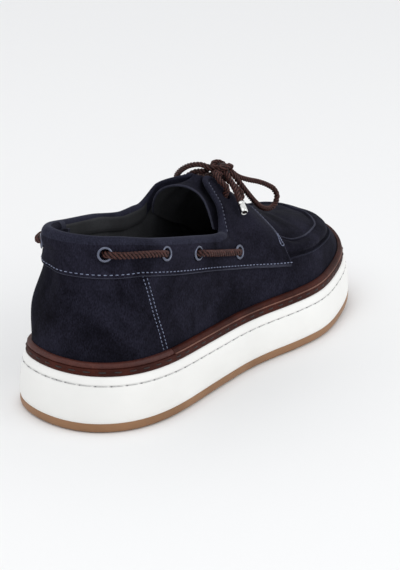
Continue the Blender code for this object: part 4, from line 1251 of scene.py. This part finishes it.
def refine(grid, steps):
    """Smooth rows added between the rows of a grid, steps for each."""
    slopes = end_slopes(grid)
    found = [
        hermite(grid[i], grid[i + 1], slopes[i], slopes[i + 1], b)
        for i in range(len(grid) - 1)
        for b in np.linspace(0, 1, steps, endpoint=False)
    ]
    return np.array([*found, grid[-1]])


# soft folds across the tongue's lining: rows ahead of the rim, height, width in rows
TONGUE_FOLDS = [(5, 0.4, 1.6), (9.5, -0.4, 1.8), (15, 0.5, 2.2), (22, -0.4, 2.6)]


def lining_folds(rows, columns):
    """How far the folds stand in towards the foot at each point of the tongue's lining."""
    row, across = np.arange(rows)[:, None], np.linspace(-1, 1, columns)[None]
    total = np.zeros((rows, columns))
    for ahead, height, width in TONGUE_FOLDS:
        total += height * np.exp(-(((row - ahead + 1.5 * across + 2 * across**2) / width) ** 2))
    return total * (1 - 0.75 * across**2) * smooth_step(1, 4, row)


def add_tongue():
    layers = []
    for depth in (0.0, TONGUE_THICKNESS):
        rows = [tongue_row(a, TONGUE_DEPTH + depth) for a in TONGUE_STATIONS]
        rim = tongue_rim(depth * 0.55)
        rim, first = np.array(rim), np.array(rows[0])
        between = [rim + (first - rim) * b + np.array([0, 0, -0.8]) for b in (0.35, 0.7)]
        grid = refine(np.array([rim, *between, *rows]), 6)
        layers.append(refine(grid.transpose(1, 0, 2), 6).transpose(1, 0, 2))
    top, bottom = layers
    bottom = bottom + unit(bottom - top) * lining_folds(*bottom.shape[:2])[..., None]
    lip = (top[0] + bottom[0]) / 2
    ahead = unit(top[0] - top[1])
    turn = [(layer[0], math.radians(b)) for layer, b in zip([top] * 3 + [bottom] * 2, (30, 60, 90, 60, 30))]
    rounded = [lip + (edge - lip) * math.cos(b) + ahead * 0.8 * math.sin(b) for edge, b in turn]
    loops = np.concatenate([top[::-1], rounded, bottom])
    faces = strip_faces(*loops.shape[:2])
    row = np.array([face[0] for face in faces]) // loops.shape[1]
    finish = np.select([row >= len(top) + len(turn), row >= len(top) - 1], [1, 2], 0)
    finish[-2:] = 0
    add_piece(
        "suede_tongue", loops.reshape(-1, 3), faces, [navy_suede, lining_leather, suede_edge], ["tongue"],
        "navy_suede", finish, sharp=60,
    )


add_upper()
add_saddle()
add_heel_grip()
add_tongue()

# ---- eyelets -------------------------------------------------------------------------------------------


def add_eyelets():
    face = SEAM + SADDLE + 0.45
    hole, outer = EYELET_HOLE / 2, EYELET_OUTER / 2
    profile = [
        (hole, face - 1.6), (hole, face + 0.35), (hole + 0.12, face + 0.68), (hole + 0.4, face + 0.86),
        (hole + 0.75, face + 0.88), (hole + 1.1, face + 0.74), (outer - 0.12, face + 0.45),
        (outer, face + 0.15), (outer - 0.1, face - 0.1), (hole + 0.5, face - 0.1), (hole + 0.5, face - 1.6),
    ]
    for side in (LATERAL, MEDIAL):
        for number, (a, t) in enumerate(EYELETS, 1):
            name = f"eyelet_{side_word(side)}_{number}"
            turned(
                f"rolled_{name}", profile, 48, rib_point(side, a, t), rib_normal(side, a, t), gunmetal,
                replaced=[name], slot="eyelet_metal",
            )


add_eyelets()

# ---- stitching -----------------------------------------------------------------------------------------

# one stitch from end to end: along in half lengths, thickness share, drop in radii
STITCH_RINGS = [(-1.0, 0.4, -1.6), (-0.8, 0.85, -0.5), (-0.35, 1.0, 0.0), (0.35, 1.0, 0.0), (0.8, 0.85, -0.5),
                (1.0, 0.4, -1.6)]
STITCH_SIDES = 6


def add_stitches(name, rows, finish, slot, pitch, length, radius):
    """All the stitches of some rows; each row is a line of points with its surface normals."""
    angles = np.linspace(0, 2 * math.pi, STITCH_SIDES, endpoint=False)
    faces = tube_faces(len(STITCH_RINGS), STITCH_SIDES)
    stitches = []
    for line, normals in rows:
        both = resample(np.concatenate([line, normals], 1), pitch)
        spots, ups = both[:, :3], unit(both[:, 3:])
        ahead = unit(np.gradient(spots, axis=0))
        ups = unit(ups - ahead * (ups * ahead).sum(1)[:, None])
        for spot, up, go, over in zip(spots, ups, ahead, np.cross(ahead, ups)):
            spokes = np.outer(np.cos(angles), over) + np.outer(np.sin(angles), up)
            rings = [
                spot + go * (along * length / 2) + up * (radius * (0.55 + drop)) + spokes * radius * share
                for along, share, drop in STITCH_RINGS
            ]
            stitches.append((np.concatenate(rings), faces))
    add_piece(name, *joined(stitches), [finish], (), slot, sharp=60)


def saddle_row(side, stations, share):
    return saddle_skin(np.full(len(stations), side), stations, np.broadcast_to(share, stations.shape))


def hem_share(side, stations, up):
    """Share of the saddle's section that lies up millimetres above its lower edge."""
    a, low = saddle_place(side, stations, 0.0)
    high = saddle_place(side, stations, 0.2)[1]
    height = np.linalg.norm(rib_point(side, a, high) - rib_point(side, a, low), axis=-1)
    return 0.2 * up / height


def both_ways(make):
    """A row that runs around the heel from the lateral front to the medial front."""
    lateral, medial = make(LATERAL), make(MEDIAL)
    return tuple(np.concatenate([side[::-1], other[1:]]) for side, other in zip(lateral, medial))


# the double row behind the saddle's front edge, turned in a loop at its foot: share up, ribs back
FRONT_ROW = smooth_line([
    (0.9, 0.14), (0.8, 0.14), (0.7, 0.14), (0.6, 0.14), (0.52, 0.14), (0.45, 0.11), (0.38, 0.07),
    (0.325, 0.05), (0.3, 0.1), (0.295, 0.22), (0.3, 0.34), (0.325, 0.4), (0.38, 0.345), (0.45, 0.27),
    (0.52, 0.225), (0.6, 0.225), (0.7, 0.225), (0.8, 0.225), (0.9, 0.225),
], 0.01)


def stitch_saddle():
    stations = SADDLE_STATIONS
    rows = [both_ways(lambda side: saddle_row(side, stations, hem_share(side, stations, 2.3)))]
    front, tack = [], []
    for side in (LATERAL, MEDIAL):
        shares, backs = FRONT_ROW.T
        line, normals = saddle_skin(np.full(len(shares), side), A_SADDLE - backs, shares)
        low = shares < 0.5
        first, last = np.flatnonzero(low)[[0, -1]]
        front += [(line[: first + 1], normals[: first + 1]), (line[last:], normals[last:])]
        tack.append((line[low], normals[low]))
    add_stitches("saddle_stitching", rows, blue_thread, "navy_suede", 3.3, 2.0, 0.3)
    add_stitches("saddle_front_stitching", front, shaded_thread, "navy_suede", 2.6, 1.8, 0.26)
    add_stitches("saddle_front_tack", tack, blue_thread, "navy_suede", 1.6, 1.4, 0.3)
    facing = []
    for side, (rear, ahead) in itertools.product((LATERAL, MEDIAL), ((6.3, 7.7), (8.4, 10.0))):
        stations = np.linspace(rear, ahead, 40)
        top = rib_point(side, stations, 1.0)
        a, low = saddle_place(side, stations, 0.0)
        height = np.linalg.norm(top - rib_point(side, a, low), axis=-1)
        facing.append(saddle_row(side, stations, 1 - 0.9 / np.maximum(height, 12)))
    add_stitches("facing_stitching", facing, shaded_thread, "navy_suede", 2.6, 1.6, 0.24)


def stitch_counter():
    rows = []
    for side in (LATERAL, MEDIAL):
        for back in (1.3, 4.3):
            t = np.linspace(0.02, band_edge_t(side, 2.7) + 0.01, 50)
            a = np.interp(t, *zip(*COUNTER_EDGE)) - back / 31.0
            rows.append((last_offset(side, a, t, skin_offset(side, a, t)), rib_normal(side, a, t)))
    add_stitches("counter_stitching", rows, blue_thread, "navy_suede", 2.5, 1.7, 0.28)


def stitch_sole():
    side, a = ring(FINE_RIBS)
    side, a = np.append(side, side[0]), np.append(a, a[0])
    _, outward = sole_edge(side, a)
    out = np.column_stack([outward, np.zeros(len(a))])
    share = 1 - STITCH_LINE_DROP / (CUP_TOP_AT_WAIST - GUM_THICKNESS)
    line = sole_line(side, a, sidewall_inset(share) + 0.35, from_top(STITCH_LINE_DROP))
    add_stitches("sidewall_stitching", [(line, out)], grey_thread, "white_rubber", 9.0, 8.4, 0.17)
    # dark dots at the needle holes are painted shade
    add_stitches("sidewall_needle_holes", [(line[4:], out[4:])], needle_hole_shade, "white_rubber", 9.0, 1.1, 0.26)
    line = sole_line(side, a, 4.3, from_top(-2.5))
    add_stitches("welt_stitching", [(line, out)], brown_thread, "brown_leather", 9.0, 4.6, 0.4)


BEAD_SIDES = 8


def add_bead(name, places, radius, finish, slot):
    """A thin cord laid along a seam."""
    line = resample(places, 1.2)
    faces = tube_faces(len(line), BEAD_SIDES)
    add_piece(name, tube_points(line, radius, BEAD_SIDES), faces, [finish], (), slot, sharp=60)


def toe_seam(t, sink, start):
    """Points of a toe seam at height t, sunk into the skin, from one side's start rib around the toe."""
    side, a = around_toe(start, 90)
    return last_offset(side, a, t, moccasin_relief(a, t) - sink)


def add_welt_ridge():
    """The rand's pale trimmed edge, where it meets the welt in front of the counter."""
    line = sole_line(*around_toe(A_COUNTER + 0.05, 170), 4.95, from_top(-4.45))
    add_bead("welt_ridge", line, 0.42, pale_leather, "brown_leather")


stitch_saddle()
stitch_counter()
stitch_sole()
add_welt_ridge()
# the moccasin bead is laid in the lighter suede that is painted as a highlight
add_bead("moccasin_bead", toe_seam(0.308, -0.15, 9.35), 0.5, pale_highlight_suede, "navy_suede")
add_bead("apron_piping", toe_seam(2 / 3, 0.35, 9.9), 0.6, suede_edge, "navy_suede")

# ---- floor and light -----------------------------------------------------------------------------------


FLOOR_Z = -0.0003  # metres, a hair under the sole


def add_floor():
    data = bpy.data.meshes.new("floor")
    corners = [(x, y, FLOOR_Z) for x, y in ((-6, -6), (8, -6), (8, 8), (-6, 8))]
    data.from_pydata(corners, [], [(0, 1, 2, 3)])
    floor = link_object("floor", data)
    made = bpy.data.materials.new("pale_floor")
    made.use_nodes = True
    shader = made.node_tree.nodes["Principled BSDF"]
    shader.inputs["Base Color"].default_value = (0.875, 0.875, 0.87, 1)
    shader.inputs["Roughness"].default_value = 0.85
    shader.inputs["Specular IOR Level"].default_value = 0.1
    data.materials.append(made)


def add_softbox(name, place, aim, size, power):
    data = bpy.data.lights.new(name, "AREA")
    data.shape = "SQUARE"
    data.size = size
    data.energy = power
    lamp = link_object(name, data)
    lamp.location = place
    lamp.rotation_euler = (Vector(aim) - Vector(place)).to_track_quat("-Z", "Y").to_euler()


def add_light():
    world = bpy.data.worlds.new("studio")
    world.use_nodes = True
    back = world.node_tree.nodes["Background"]
    back.inputs["Color"].default_value = (0.97, 0.98, 1.0, 1)
    back.inputs["Strength"].default_value = 0.92
    bpy.context.scene.world = world
    add_softbox("softbox_overhead", (-0.75, 0.1, 1.25), (-0.03, 0, 0.03), 1.2, 3.4)
    add_softbox("softbox_side", (0.25, -1.5, 0.75), (0, 0, 0.05), 1.1, 6.0)
    bpy.context.scene.view_settings.view_transform = "Standard"


add_floor()
add_light()
